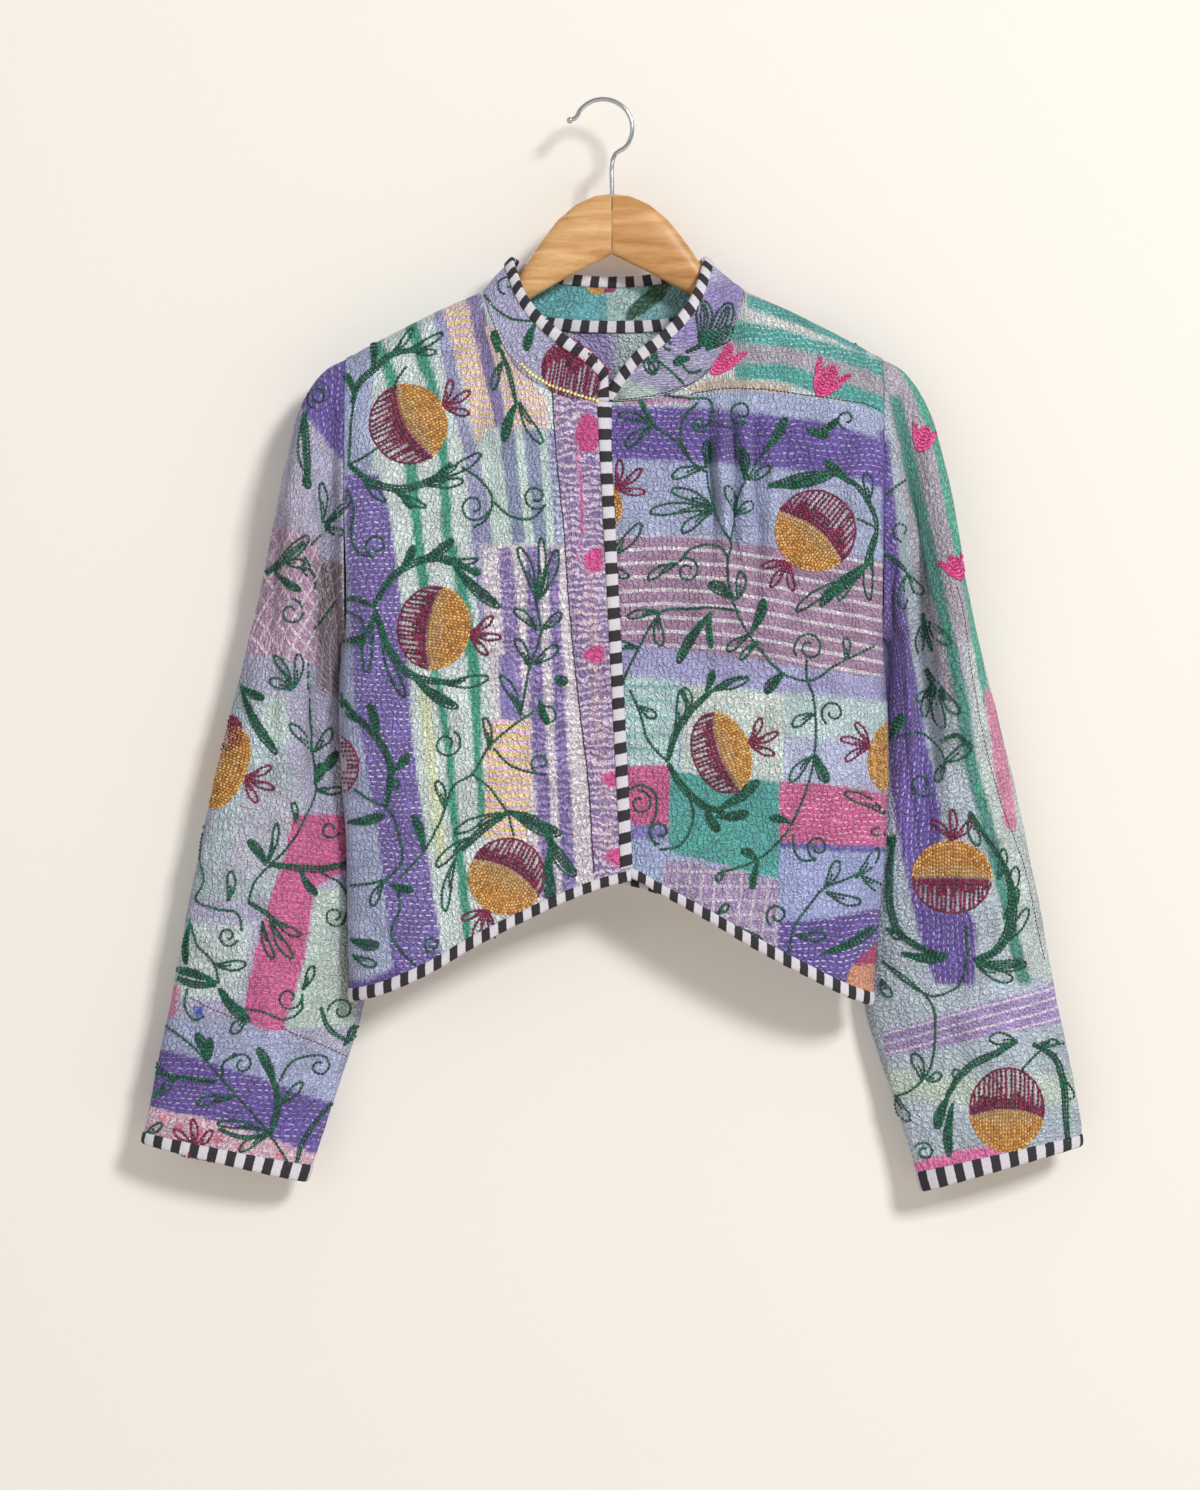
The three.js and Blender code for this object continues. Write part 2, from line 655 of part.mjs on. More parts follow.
function hangerArm(side) {
  const rings = ARM.map((row) => {
    const x = mix(HANGER_X, CENTRE_X, clamp(row.away / ARM_SEAT)) + SIGN[side] * (row.away + ARM_GAP);
    const middle = (row.top + row.foot) / 2;
    const tall = (row.top - row.foot) / 2;
    return Array.from({ length: ARM_POINTS }, (_, k) => {
      const angle = (2 * Math.PI * k) / ARM_POINTS;
      const [c, s] = [Math.cos(angle), Math.sin(angle)];
      return new THREE.Vector3(x, row.y + row.half * c, middle + tall * s);
    });
  });
  const cap = Array.from({ length: ARM_POINTS - 2 }, (_, k) => [0, k + 1, k + 2]);
  const arm = sweptMesh("hanger_arm_" + side, rings, cap, COLOURS.wood);
  const bore = new THREE.CylinderGeometry(WIRE / 2 + SEAM_GAP, WIRE / 2 + SEAM_GAP, HOOK_SEAT * 2 + 1, 12);
  bore.rotateX(Math.PI / 2);
  bore.translate(HANGER_X, ARM[0].y, ARM[0].top);
  const bored = toSolid(arm.geometry).subtract(toSolid(bore));
  return finishedMesh(arm.name, toGeometry(bored), COLOURS.wood, 0.45);
}

function hook() {
  const middle = WIRE / 2 - CROWN_RADIUS;
  const points = [new THREE.Vector3(HOOK_TIP.x, 0, HOOK_TIP.z)];
  for (let degrees = 158; degrees >= -38; degrees -= 14) {
    const angle = THREE.MathUtils.degToRad(degrees);
    points.push(new THREE.Vector3(CROWN_RADIUS * Math.cos(angle), 0, middle + CROWN_RADIUS * Math.sin(angle)));
  }
  points.push(new THREE.Vector3(HANGER_X + 2.6, 0, STEM_BEND_Z));
  points.push(new THREE.Vector3(HANGER_X, ARM[0].y / 2, STEM_BEND_Z - 9));
  points.push(new THREE.Vector3(HANGER_X, ARM[0].y, ARM[0].top + 6));
  points.push(new THREE.Vector3(HANGER_X, ARM[0].y, ARM[0].top - HOOK_SEAT));
  const path = new THREE.CatmullRomCurve3(points, false, "centripetal");
  const section = new THREE.Shape();
  for (let k = 0; k < 8; k++) {
    const angle = (2 * Math.PI * k) / 8;
    const method = k ? "lineTo" : "moveTo";
    section[method]((WIRE / 2) * Math.cos(angle), (WIRE / 2) * Math.sin(angle));
  }
  const wire = new THREE.ExtrudeGeometry(section, { steps: 44, extrudePath: path });
  const knob = new THREE.SphereGeometry(KNOB_RADIUS, 10, 8);
  knob.translate(HOOK_TIP.x, 0, HOOK_TIP.z);
  const whole = toSolid(wire).add(toSolid(knob));
  return finishedMesh("hanger_hook", toGeometry(whole), COLOURS.steel, 0.15, 1);
}

const jacket = new THREE.Group();
const frontRight = frontGrid("right");
const frontLeft = frontGrid("left");
const back = backGrid();
const collar = collarGrid(frontRight, frontLeft, back);
const sleeves = { right: sleeveGrid("right"), left: sleeveGrid("left") };

jacket.add(clothMesh("front_right", frontRight, COLOURS.front));
jacket.add(clothMesh("front_left", frontLeft, COLOURS.front));
jacket.add(clothMesh("back", back, COLOURS.back));
jacket.add(clothMesh("collar", collar, COLOURS.collar));
for (const [side, grid] of Object.entries(sleeves)) {
  jacket.add(clothMesh("sleeve_" + side, grid, COLOURS.sleeve));
  const last = grid.mid[0].length - 1;
  const stations = grid.mid.map((_, k) => station(grid, k, last, k, last - 1));
  jacket.add(bindingMesh("binding_cuff_" + side, stations, true));
}
for (const [side, grid] of [["right", frontRight], ["left", frontLeft]]) {
  const hem = grid.mid[0].length - 1;
  const down = grid.mid[0].slice(0, hem - 1).map((_, j) => station(grid, 0, j, 1, j));
  jacket.add(bindingMesh("binding_front_" + side, down, false));
  jacket.add(bindingMesh("binding_hem_" + side, grid.mid.map((_, i) => station(grid, i, hem, i, hem - 1)), false));
}
const backHemRow = back.mid[0].length - 1;
jacket.add(bindingMesh("binding_hem_back", back.mid.map((_, i) => station(back, i, backHemRow, i, backHemRow - 1)), false));
jacket.add(bindingMesh("binding_collar", collar.mid.map((_, i) => station(collar, i, 3, i, 2)), false));
jacket.add(neckTape(collar));
jacket.add(hangerArm("right"), hangerArm("left"), hook());

export default jacket;
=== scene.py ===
"""A short quilted kantha jacket on a wooden hanger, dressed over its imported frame.

Tables are in millimetres, or in "picture units" of 0.82 mm, counted right and down from a point up and to the
left of the jacket. "Right" and "left" in names are the wearer's.
"""

import logging
import math
from dataclasses import dataclass, field, replace
from enum import Enum

import bpy
import numpy as np
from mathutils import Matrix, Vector
from mathutils.kdtree import KDTree


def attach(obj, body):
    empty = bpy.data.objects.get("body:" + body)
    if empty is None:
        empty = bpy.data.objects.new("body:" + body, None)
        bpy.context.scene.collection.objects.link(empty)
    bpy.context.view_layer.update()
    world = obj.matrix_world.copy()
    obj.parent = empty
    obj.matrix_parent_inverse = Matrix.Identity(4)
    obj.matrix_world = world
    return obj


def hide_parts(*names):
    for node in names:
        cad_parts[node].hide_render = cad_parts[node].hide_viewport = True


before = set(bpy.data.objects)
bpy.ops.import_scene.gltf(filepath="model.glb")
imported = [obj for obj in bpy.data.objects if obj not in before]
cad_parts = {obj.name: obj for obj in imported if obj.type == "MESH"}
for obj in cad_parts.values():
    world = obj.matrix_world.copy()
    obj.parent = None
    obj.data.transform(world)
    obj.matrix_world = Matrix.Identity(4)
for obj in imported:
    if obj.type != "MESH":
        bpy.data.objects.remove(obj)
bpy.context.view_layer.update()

log = logging.getLogger("jacket")

MM = 0.001
UNIT = 0.82  # millimetres for each picture unit
HOOK_AT = (603.0, 95.0)  # the origin, in picture units
CENTRE_X = 9.0  # the jacket hangs this far to the viewer's right of its hook
WALL = 2.4  # thickness of the quilt
BAND = 8.0  # a binding's width on each side
SLOT = 1.675  # from the middle of a bound cloth to its binding
SEAM_LIFT = 0.65  # between the collar and the seam it stands on
MIRROR_AXIS = 2 * (HOOK_AT[0] + CENTRE_X / UNIT)  # twice the centre line's place, in picture units
PANEL_RUN = 482  # how long a front or back is from top to hem, for spacing its rows
COLLAR_END = 17.0  # from the last neck station to the collar's own edge
STITCH_STEP = 3.2  # from one embroidery stitch to the next
STRAND_GAP = 2.7  # between strands sewn side by side, in picture units
CREASE_DEPTH = 2.3  # how much the lifts in CREASES are deepened
PHASES = 64.0  # woven lines are counted within this many, so that the count fits a colour


class Side(Enum):
    """The wearer's side, by the sign of its x."""

    RIGHT = -1
    LEFT = 1


class Face(Enum):
    """Front or back of the body, by the sign of its y."""

    FRONT = -1
    BACK = 1


def linear(code: str) -> np.ndarray:
    """Turns an sRGB hex colour such as "#b9b6d6" into linear light.

    Args:
        code: the hex colour.

    Returns:
        Red, green and blue from 0 to 1.
    """
    srgb = np.array([int(code[i : i + 2], 16) for i in (1, 3, 5)]) / 255
    return np.where(srgb <= 0.04045, srgb / 12.92, ((srgb + 0.055) / 1.055) ** 2.4)


def smooth(xs: np.ndarray, ys: np.ndarray, at: np.ndarray) -> np.ndarray:
    """Reads a table along a soft curve through its rows, level past its ends.

    Args:
        xs: rising places.
        ys: the values there.
        at: where to read.

    Returns:
        The values at those places.
    """
    xs, ys = np.asarray(xs, float), np.asarray(ys, float)
    at = np.clip(at, xs[0], xs[-1])
    step = np.diff(xs)
    rise = np.diff(ys) / step
    between = (rise[:-1] * step[1:] + rise[1:] * step[:-1]) / (step[1:] + step[:-1])
    slope = np.concatenate([[rise[0]], between, [rise[-1]]])
    i = np.clip(np.searchsorted(xs, at, side="right") - 1, 0, len(step) - 1)
    t, h = (at - xs[i]) / step[i], step[i]
    start = (1 + 2 * t) * (1 - t) ** 2 * ys[i] + t * (1 - t) ** 2 * h * slope[i]
    return start + t * t * (3 - 2 * t) * ys[i + 1] + t * t * (t - 1) * h * slope[i + 1]


def mix(a: np.ndarray, b: np.ndarray, t: np.ndarray) -> np.ndarray:
    """Returns what lies the share t of the way from a to b."""
    return a + (b - a) * t


def running(steps: np.ndarray) -> np.ndarray:
    """Returns how far along each place lies, from 0, given the steps between them."""
    return np.concatenate([[0], np.cumsum(steps)])


def quarter_round(v: np.ndarray) -> np.ndarray:
    """Returns a quarter of a circle: steep at 0, level at 1."""
    return np.sqrt(1 - (1 - np.clip(v, 0, 1)) ** 2)


def cloudy(x: np.ndarray, y: np.ndarray, cell: float, seed: int) -> np.ndarray:
    """Soft seeded noise over a plane.

    Args:
        x: places across.
        y: places down.
        cell: size of a cloud, in the same unit.
        seed: which clouds.

    Returns:
        Values from -1 to 1.
    """
    lattice = np.random.default_rng(seed).uniform(-1, 1, (256, 256))
    u, v = x / cell + 97.3, y / cell + 61.7
    i, j = np.floor(u).astype(int), np.floor(v).astype(int)
    s, t = u - i, v - j
    s, t = s * s * (3 - 2 * s), t * t * (3 - 2 * t)

    def knot(across: int, down: int) -> np.ndarray:
        """Returns the lattice's values that many knots on from each place."""
        return lattice[(i + across) % 256, (j + down) % 256]

    return mix(mix(knot(0, 0), knot(1, 0), s), mix(knot(0, 1), knot(1, 1), s), t)


def normals_of(points: np.ndarray, closed: bool) -> np.ndarray:
    """Normals of a grid of points, by differences between neighbours.

    Args:
        points: columns by rows by three.
        closed: whether the last column joins the first.

    Returns:
        Unit normals, all turned one way, but not yet known to be the outward one.
    """
    if closed:
        across = np.roll(points, -1, 0) - np.roll(points, 1, 0)
    else:
        across = np.gradient(points, axis=0)
    normal = np.cross(across, np.gradient(points, axis=1))
    return normal / np.maximum(np.linalg.norm(normal, axis=2, keepdims=True), 1e-9)


# The body, from the hem up: height, how far out its right and left sides are, and how far the cloth stands
# out in front and behind
BODY = np.array([
    [-750, 218, 213, 32, 24], [-670, 220, 220, 34, 25], [-615, 221, 225, 35, 26], [-560, 225, 227, 36, 26],
    [-505, 227, 226, 37, 26], [-470, 226, 224, 37, 26], [-445, 222, 222, 37, 26], [-330, 222, 222, 34, 24],
    [-215, 222, 222, 27, 20], [-100, 222, 222, 23, 17],
], float)
SHOULDER = np.array([[107, -158], [146, -175], [180, -192], [204, -204.5], [222, -215]], float)
HEM = np.array([
    [-16, -642, -650], [8, -648, -640], [40, -660, -655], [74, -676, -674], [114, -697, -698],
    [157, -722, -721], [195, -738, -740], [230, -746, -753],
], float)
# From centre front to centre back: the neck seam's distance out and height, then the collar's top above it
NECK = np.array([
    [22, -250, 6, -33, -226], [44, -246, 20, -33, -211], [62, -238, 36, -32, -200], [76, -228, 50, -30, -188],
    [88, -212, 62, -27, -175], [97, -194, 71, -22, -160], [103.5, -176, 75.5, -15.5, -147],
    [106.2, -166, 78.5, -8.5, -137.5], [107, -158, 79.5, -1, -131], [104, -164, 78, 10, -130.5],
    [94, -173, 72, 17, -134], [75, -180, 57, 21, -138], [50, -184, 38, 24, -141], [25, -186, 19, 26, -143],
    [0, -186.5, 0, 26.5, -143.5],
], float)
NECK_SHOULDER = 8  # the row of NECK at the shoulder seam
NECK_SEAM_Z = -252.0
FRONT_SHARES = [0.06, 0.14, 0.22, 0.3, 0.37, 0.43, 0.48, 0.53, 0.58]
SHOULDER_COLUMNS = [
    (122, 0.64), (138, 0.71), (156, 0.79), (174, 0.86), (192, 0.92), (205, 0.955), (215, 0.98), (222, 1),
]
EDGES = {Side.RIGHT: (5.7, -14.0), Side.LEFT: (-10.0, -12.0)}
UNDERLAP_DROP = 5.6
# Large folds: start (out, height), end (out, height), lift, width
FOLDS = {
    Side.RIGHT: [
        (196, -250, 205, -470, 3.5, 15), (160, -300, 172, -560, -3, 18), (110, -420, 96, -700, 2.5, 20),
    ],
    Side.LEFT: [
        (92, -270, 96, -600, 3.5, 13), (128, -290, 140, -640, 3, 14), (196, -260, 204, -480, 3.5, 15),
    ],
    None: [(185, -260, 170, -640, 3.5, 18), (120, -300, 132, -700, -3, 20), (40, -380, 52, -660, 2.5, 22)],
}
# Small creases, each two places in picture units, then a lift and a width in millimetres
CREASES = [
    (709, 392, 713, 575, -3.2, 4.2), (720, 392, 727, 555, 3.0, 4), (731, 400, 739, 600, -2.6, 3.6),
    (742, 396, 750, 540, 2.4, 4), (753, 402, 758, 620, -2.6, 4.2), (768, 410, 777, 580, 2.2, 5),
    (786, 415, 796, 640, -1.8, 6), (812, 430, 818, 560, 1.4, 7), (722, 560, 730, 700, -1.5, 7),
    (706, 570, 700, 660, 1.3, 7), (846, 430, 842, 520, -1.3, 8), (620, 688, 790, 702, 0.9, 11),
    (700, 770, 690, 860, -0.9, 9), (856, 600, 848, 760, -1.0, 10), (372, 480, 394, 720, -1.1, 11),
    (400, 700, 424, 920, 0.9, 12), (520, 430, 541, 700, 0.8, 10), (470, 560, 486, 800, -0.8, 10),
    (555, 400, 590, 860, -0.9, 4), (350, 640, 430, 690, 0.8, 10), (560, 300, 568, 388, -1.0, 5),
    (515, 300, 540, 360, 0.7, 7), (896, 590, 921, 900, -1.8, 4.5), (909, 610, 936, 890, -1.7, 4.5),
    (921, 640, 949, 860, -1.4, 4.5), (906, 392, 938, 790, -7.2, 9), (932, 372, 974, 800, 4.4, 10),
    (893, 520, 906, 640, 2.6, 4), (914, 420, 950, 640, -2.0, 4), (975, 730, 1012, 960, 1.4, 14),
    (960, 990, 1030, 1140, 1.2, 16), (300, 430, 286, 600, 1.3, 12), (262, 560, 232, 760, -1.2, 12),
    (331, 396, 312, 885, -7.6, 10), (304, 380, 280, 800, 3.2, 10), (318, 540, 304, 800, -2.4, 5),
    (284, 470, 262, 700, -1.8, 7), (250, 900, 215, 1130, 1.2, 15), (300, 860, 275, 1060, -1.4, 12),
    (240, 680, 300, 700, 0.9, 14), (180, 1000, 320, 1060, 0.8, 12),
]

SLEEVE = np.array([
    [222.15, -215, 0, 222.15, -445, 0, 26, 18], [236, -222, 1, 226, -449, 4, 27, 18],
    [248, -235, 2, 227.5, -454, 8, 28, 17], [260, -258, 3, 228, -461, 11, 29, 16],
    [269, -289, 4, 228, -470, 14, 30, 15], [278, -330, 5, 227, -482, 18, 30, 14],
    [288, -385, 6, 225.5, -499, 22, 30, 12], [303, -450, 7, 223, -522, 26, 31, 10],
    [318, -512, 8, 217, -553, 29, 31, 9], [331, -565, 9, 212, -592, 30, 31, 9],
    [343, -620, 9, 210, -640, 29, 31, 9], [355, -680, 9, 209, -695, 29, 30, 9],
    [367, -745, 9, 210, -748, 28, 27, 10], [378, -800, 8, 227, -806, 22, 22, 11],
    [386, -843, 7, 246, -864, 14, 18, 13],
], float)
CUFFS = {Side.RIGHT: [390, -862, 6, 256, -894, 10, 16, 14], Side.LEFT: [387, -864, 6, 257, -902, 10, 17, 14]}
CUFF_LIFT = {Side.RIGHT: 0.0, Side.LEFT: 1.0}
# A sleeve's folds: across its front at their two ends, from one ring to another, lift and width
SLEEVE_FOLDS = {
    Side.RIGHT: [(-0.1, -0.45, 1, 9, 6, 0.26), (0.35, 0.2, 3, 12, -4, 0.2), (-0.2, 0.3, 10, 15, 3, 0.25)],
    Side.LEFT: [(0.02, -0.25, 1, 10, -7, 0.2), (-0.5, -0.6, 2, 12, 5, 0.26), (0.3, 0.1, 9, 15, 3, 0.25)],
}
ARM = np.array([
    [0, -76.5, -127, 6.5, -1], [14, -78, -134, 6.8, -1], [30, -85, -142, 7.2, -1.2],
    [46, -98.5, -151, 7.5, -1.5], [62, -119.5, -160, 7.5, -1.8], [78, -144, -171, 7.5, -2],
    [94, -160.5, -181, 7.5, -2.5], [110, -167, -189, 7.5, -3], [120, -168.5, -192, 7.5, -3],
    [134, -172.6, -196, 8, -3], [150, -179.6, -201.5, 8.5, -3], [165, -187.2, -207, 7.5, -3],
    [185, -198, -215, 6, -2.5], [203, -208, -221, 5, -2], [211, -213.5, -220, 3, -2],
], float)


def body_depth(face: Face, side: np.ndarray, away: np.ndarray, z: np.ndarray) -> np.ndarray:
    """How far the body's cloth stands out from the plane through its side seams.

    Args:
        face: front or back.
        side: -1 on the wearer's right, 1 on the left.
        away: distance out from the centre line.
        z: height.

    Returns:
        The distance, always a little above 0.
    """
    front = face is Face.FRONT
    depth = smooth(BODY[:, 0], BODY[:, 3 if front else 4], z)
    armhole = np.clip(1 - ((z + 330) / 115) ** 2, 0, 1)
    at_side = (26 if front else 18) * np.sqrt(armhole)
    top = np.where(away < 107, -158 + (107 - away) * 0.4, np.interp(away, SHOULDER[:, 0], SHOULDER[:, 1]))
    fall = top - z
    full = depth * (quarter_round(fall / 14) + quarter_round(fall / 110)) / 2
    width = np.where(side < 0, smooth(BODY[:, 0], BODY[:, 1], z), smooth(BODY[:, 0], BODY[:, 2], z))
    inside = width - away
    out = mix(at_side, full, quarter_round(inside / (75 if front else 90)))
    sets = [(None, 1.0)] if not front else [(Side.RIGHT, side < 0), (Side.LEFT, side > 0)]
    for key, share in sets:
        for a0, z0, a1, z1, lift, wide in FOLDS[key]:
            down = np.clip((z - z0) / (z1 - z0), 0, 1)
            bump = np.exp(-(((away - mix(a0, a1, down)) / wide) ** 2))
            out = out + share * lift * np.sin(np.pi * down) * bump * np.clip(inside / 20, 0, 1)
    if front:
        near = np.clip(1 - (away - 20) / 70, 0, 1)
        out = out - np.where(side > 0, UNDERLAP_DROP * near * near * (3 - 2 * near), 0)
    return np.maximum(out, 0.15)


def depth_at(face: Face, side: Side, away: float, z: float) -> float:
    """Returns how far the body's cloth stands out at one place."""
    return float(body_depth(face, np.array(float(side.value)), np.array(away), np.array(z)))


class Cloth:
    """A cloth's middle surface, read at any place across and down it."""

    closed: bool = False
    band: bool = False
    down_span: float = 1.0

    def point(self, a: np.ndarray, b: np.ndarray) -> np.ndarray:
        """Returns points of the middle surface at a across and b down."""
        raise NotImplementedError

    def spread(self) -> tuple[np.ndarray, np.ndarray]:
        """Returns the places across and down where the mesh has its vertices."""
        raise NotImplementedError

    def outward(self, points: np.ndarray) -> np.ndarray:
        """Returns a rough outward direction for each point."""
        raise NotImplementedError

    def tidy(self, normal: np.ndarray, a: np.ndarray, b: np.ndarray) -> None:
        """Turns normals at the seams, so that two pieces meet face to face."""

    def normal(self, a: np.ndarray, b: np.ndarray) -> np.ndarray:
        """Finds outward unit normals at places given one by one.

        Args:
            a: places across.
            b: places down.

        Returns:
            The normals.
        """
        da, db = 0.4, 0.002 * self.down_span
        side = self.point(a + da, b) - self.point(a - da, b)
        down = self.point(a, np.minimum(b + db, self.down_span)) - self.point(a, np.maximum(b - db, 0))
        normal = np.cross(side, down)
        normal /= np.maximum(np.linalg.norm(normal, axis=-1, keepdims=True), 1e-9)
        flip = np.sum(normal * self.outward(self.point(a, b)), axis=-1) < 0
        return np.where(flip[..., None], -normal, normal)


class Panel(Cloth):
    """A front or the back: columns that run from its top edge down to its hem."""

    def __init__(self, face: Face, side: Side | None) -> None:
        """Lays out the columns.

        Args:
            face: front or back.
            side: the wearer's side, or None for the back, which spans both.
        """
        self.face, self.side = face, side
        if side:
            self.columns = self.front_columns(side)
            self.corner = [2 + NECK_SHOULDER]
        else:
            half = {s: self.back_columns(s) for s in Side}
            self.columns = np.vstack([half[Side.RIGHT][::-1], half[Side.LEFT][1:]])
            middle = len(half[Side.RIGHT]) - 1
            self.corner = [middle - 6, middle + 6]
        c = self.columns
        top = np.hypot(np.diff(c[:, 0]), np.diff(c[:, 1]))
        self.w = running((top + np.abs(np.diff(c[:, 2]))) / 2)

    def hem(self, away: np.ndarray, side: np.ndarray) -> np.ndarray:
        """Height of the hem's edge.

        Args:
            away: distance out from the centre line.
            side: -1 or 1.

        Returns:
            The height.
        """
        right, left = smooth(HEM[:, 0], HEM[:, 1], away), smooth(HEM[:, 0], HEM[:, 2], away)
        z = np.where(side < 0, right, left)
        if self.side:
            return z
        at60 = np.where(side < 0, smooth(HEM[:, 0], HEM[:, 1], 60.0), smooth(HEM[:, 0], HEM[:, 2], 60.0))
        return np.where(away > 60, z, mix(-647, at60, (np.clip(away, 0, 60) / 60) ** 1.5))

    def side_width(self, side: int, z: np.ndarray) -> np.ndarray:
        """Returns how far out the side seam is on one side at a height."""
        seam = smooth(BODY[:, 0], BODY[:, 1 if side < 0 else 2], z)
        return seam - np.where(z > -445, 0.15, 0)

    def front_columns(self, side: Side) -> np.ndarray:
        """Lays a front's columns from its bound edge out to the side.

        Args:
            side: the wearer's side.

        Returns:
            Rows of distance out at the top, height there, and distance out at the hem.
        """
        top, hem = EDGES[side]
        end = float(self.side_width(side.value, np.array(-744.0)))
        band = hem + BAND
        rows = [(top, NECK_SEAM_Z, hem), (top + BAND, NECK_SEAM_Z + 0.6, band)]
        rows += [(NECK[i, 0], NECK[i, 1], mix(band, end, share)) for i, share in enumerate(FRONT_SHARES)]
        for away, share in SHOULDER_COLUMNS:
            rows.append((away, np.interp(away, SHOULDER[:, 0], SHOULDER[:, 1]), mix(band, end, share)))
        return np.array(rows)

    def back_columns(self, side: Side) -> np.ndarray:
        """Lays half the back's columns from its centre out to one side.

        Args:
            side: the wearer's side.

        Returns:
            The same rows as a front's, with signed distances.
        """
        end = float(self.side_width(side.value, np.array(-744.0)))
        rows = [(row[0], row[1]) for row in NECK[NECK_SHOULDER:][::-1]]
        rows += [(away, np.interp(away, SHOULDER[:, 0], SHOULDER[:, 1])) for away, _ in SHOULDER_COLUMNS]
        return np.array([(side.value * away, z, side.value * away * end / 222) for away, z in rows])

    def read(self, column: int, a: np.ndarray) -> np.ndarray:
        """Reads one of the columns' numbers at a width, with sharp corners at the shoulder's foot.

        Args:
            column: which number.
            a: places across.

        Returns:
            The numbers there.
        """
        values = self.columns[:, column]
        cuts = [0, *self.corner, len(values) - 1]
        out = np.zeros_like(a)
        for first, last in zip(cuts, cuts[1:]):
            here = (a >= self.w[first]) & (a <= self.w[last])
            out = np.where(here, smooth(self.w[first : last + 1], values[first : last + 1], a), out)
        return out

    def point(self, a: np.ndarray, b: np.ndarray) -> np.ndarray:
        """Finds points of the middle surface.

        Args:
            a: places across, in millimetres along the top.
            b: places down, from 0 at the top to 1 at the hem.

        Returns:
            The points.
        """
        a = np.clip(a, 0, self.w[-1])
        top, z_top, foot = self.read(0, a), self.read(1, a), self.read(2, a)
        if self.side:
            sign = np.full_like(a, self.side.value)
            hem = self.hem(foot, sign)
        else:
            sign = np.where(foot >= 0, 1.0, -1.0)
            hem = self.hem(np.abs(foot), sign)
        z = mix(z_top, hem, b)
        away = mix(top, foot, b)
        near_end = np.clip((a - self.w[-2]) / (self.w[-1] - self.w[-2]), 0, 1)
        if self.side:
            away = mix(away, self.side_width(self.side.value, z), near_end)
        else:
            near_start = np.clip((self.w[1] - a) / (self.w[1] - self.w[0]), 0, 1)
            away = mix(away, self.side_width(1, z), near_end)
            away = np.abs(mix(away, -self.side_width(-1, z), near_start))
        y = body_depth(self.face, sign, away, z) * self.face.value
        return np.stack([CENTRE_X + sign * away, y, z], axis=-1)

    def spread(self) -> tuple[np.ndarray, np.ndarray]:
        """Spaces the mesh's vertices, closely where the top edge turns over.

        Returns:
            Places across and places down.
        """
        step = 2.2 if self.side else 2.5
        a = np.linspace(0, self.w[-1], int(self.w[-1] / step) + 1)
        for corner in self.corner:
            a[np.argmin(np.abs(a - self.w[corner]))] = self.w[corner]
        turn = np.array([0, 0.5, 1.2, 2.2, 3.6, 5.4, 7.4])
        rows = np.concatenate([turn, np.arange(9.6, PANEL_RUN, step), [PANEL_RUN]])
        return a, rows / PANEL_RUN

    def outward(self, points: np.ndarray) -> np.ndarray:
        """Returns the way towards the viewer for a front, away for the back."""
        return np.broadcast_to(np.array([0, self.face.value, 0.01]), points.shape)

    def tidy(self, normal: np.ndarray, a: np.ndarray, b: np.ndarray) -> None:
        """Turns normals at the shoulder and armhole seams, so that two pieces meet face to face.

        Args:
            normal: the grid's normals, changed in place.
            a: the columns' places across.
            b: the rows' places down.
        """
        if self.side:
            normal[a >= self.w[self.corner[0]] - 0.01, 0, 1] = 0
            sides = [-1]
        else:
            outer = (a <= self.w[self.corner[0]] + 0.01) | (a >= self.w[self.corner[1]] - 0.01)
            normal[outer, 0, 1] = 0
            sides = [0, -1]
        for column in sides:
            normal[column, :, 0] *= 0.2


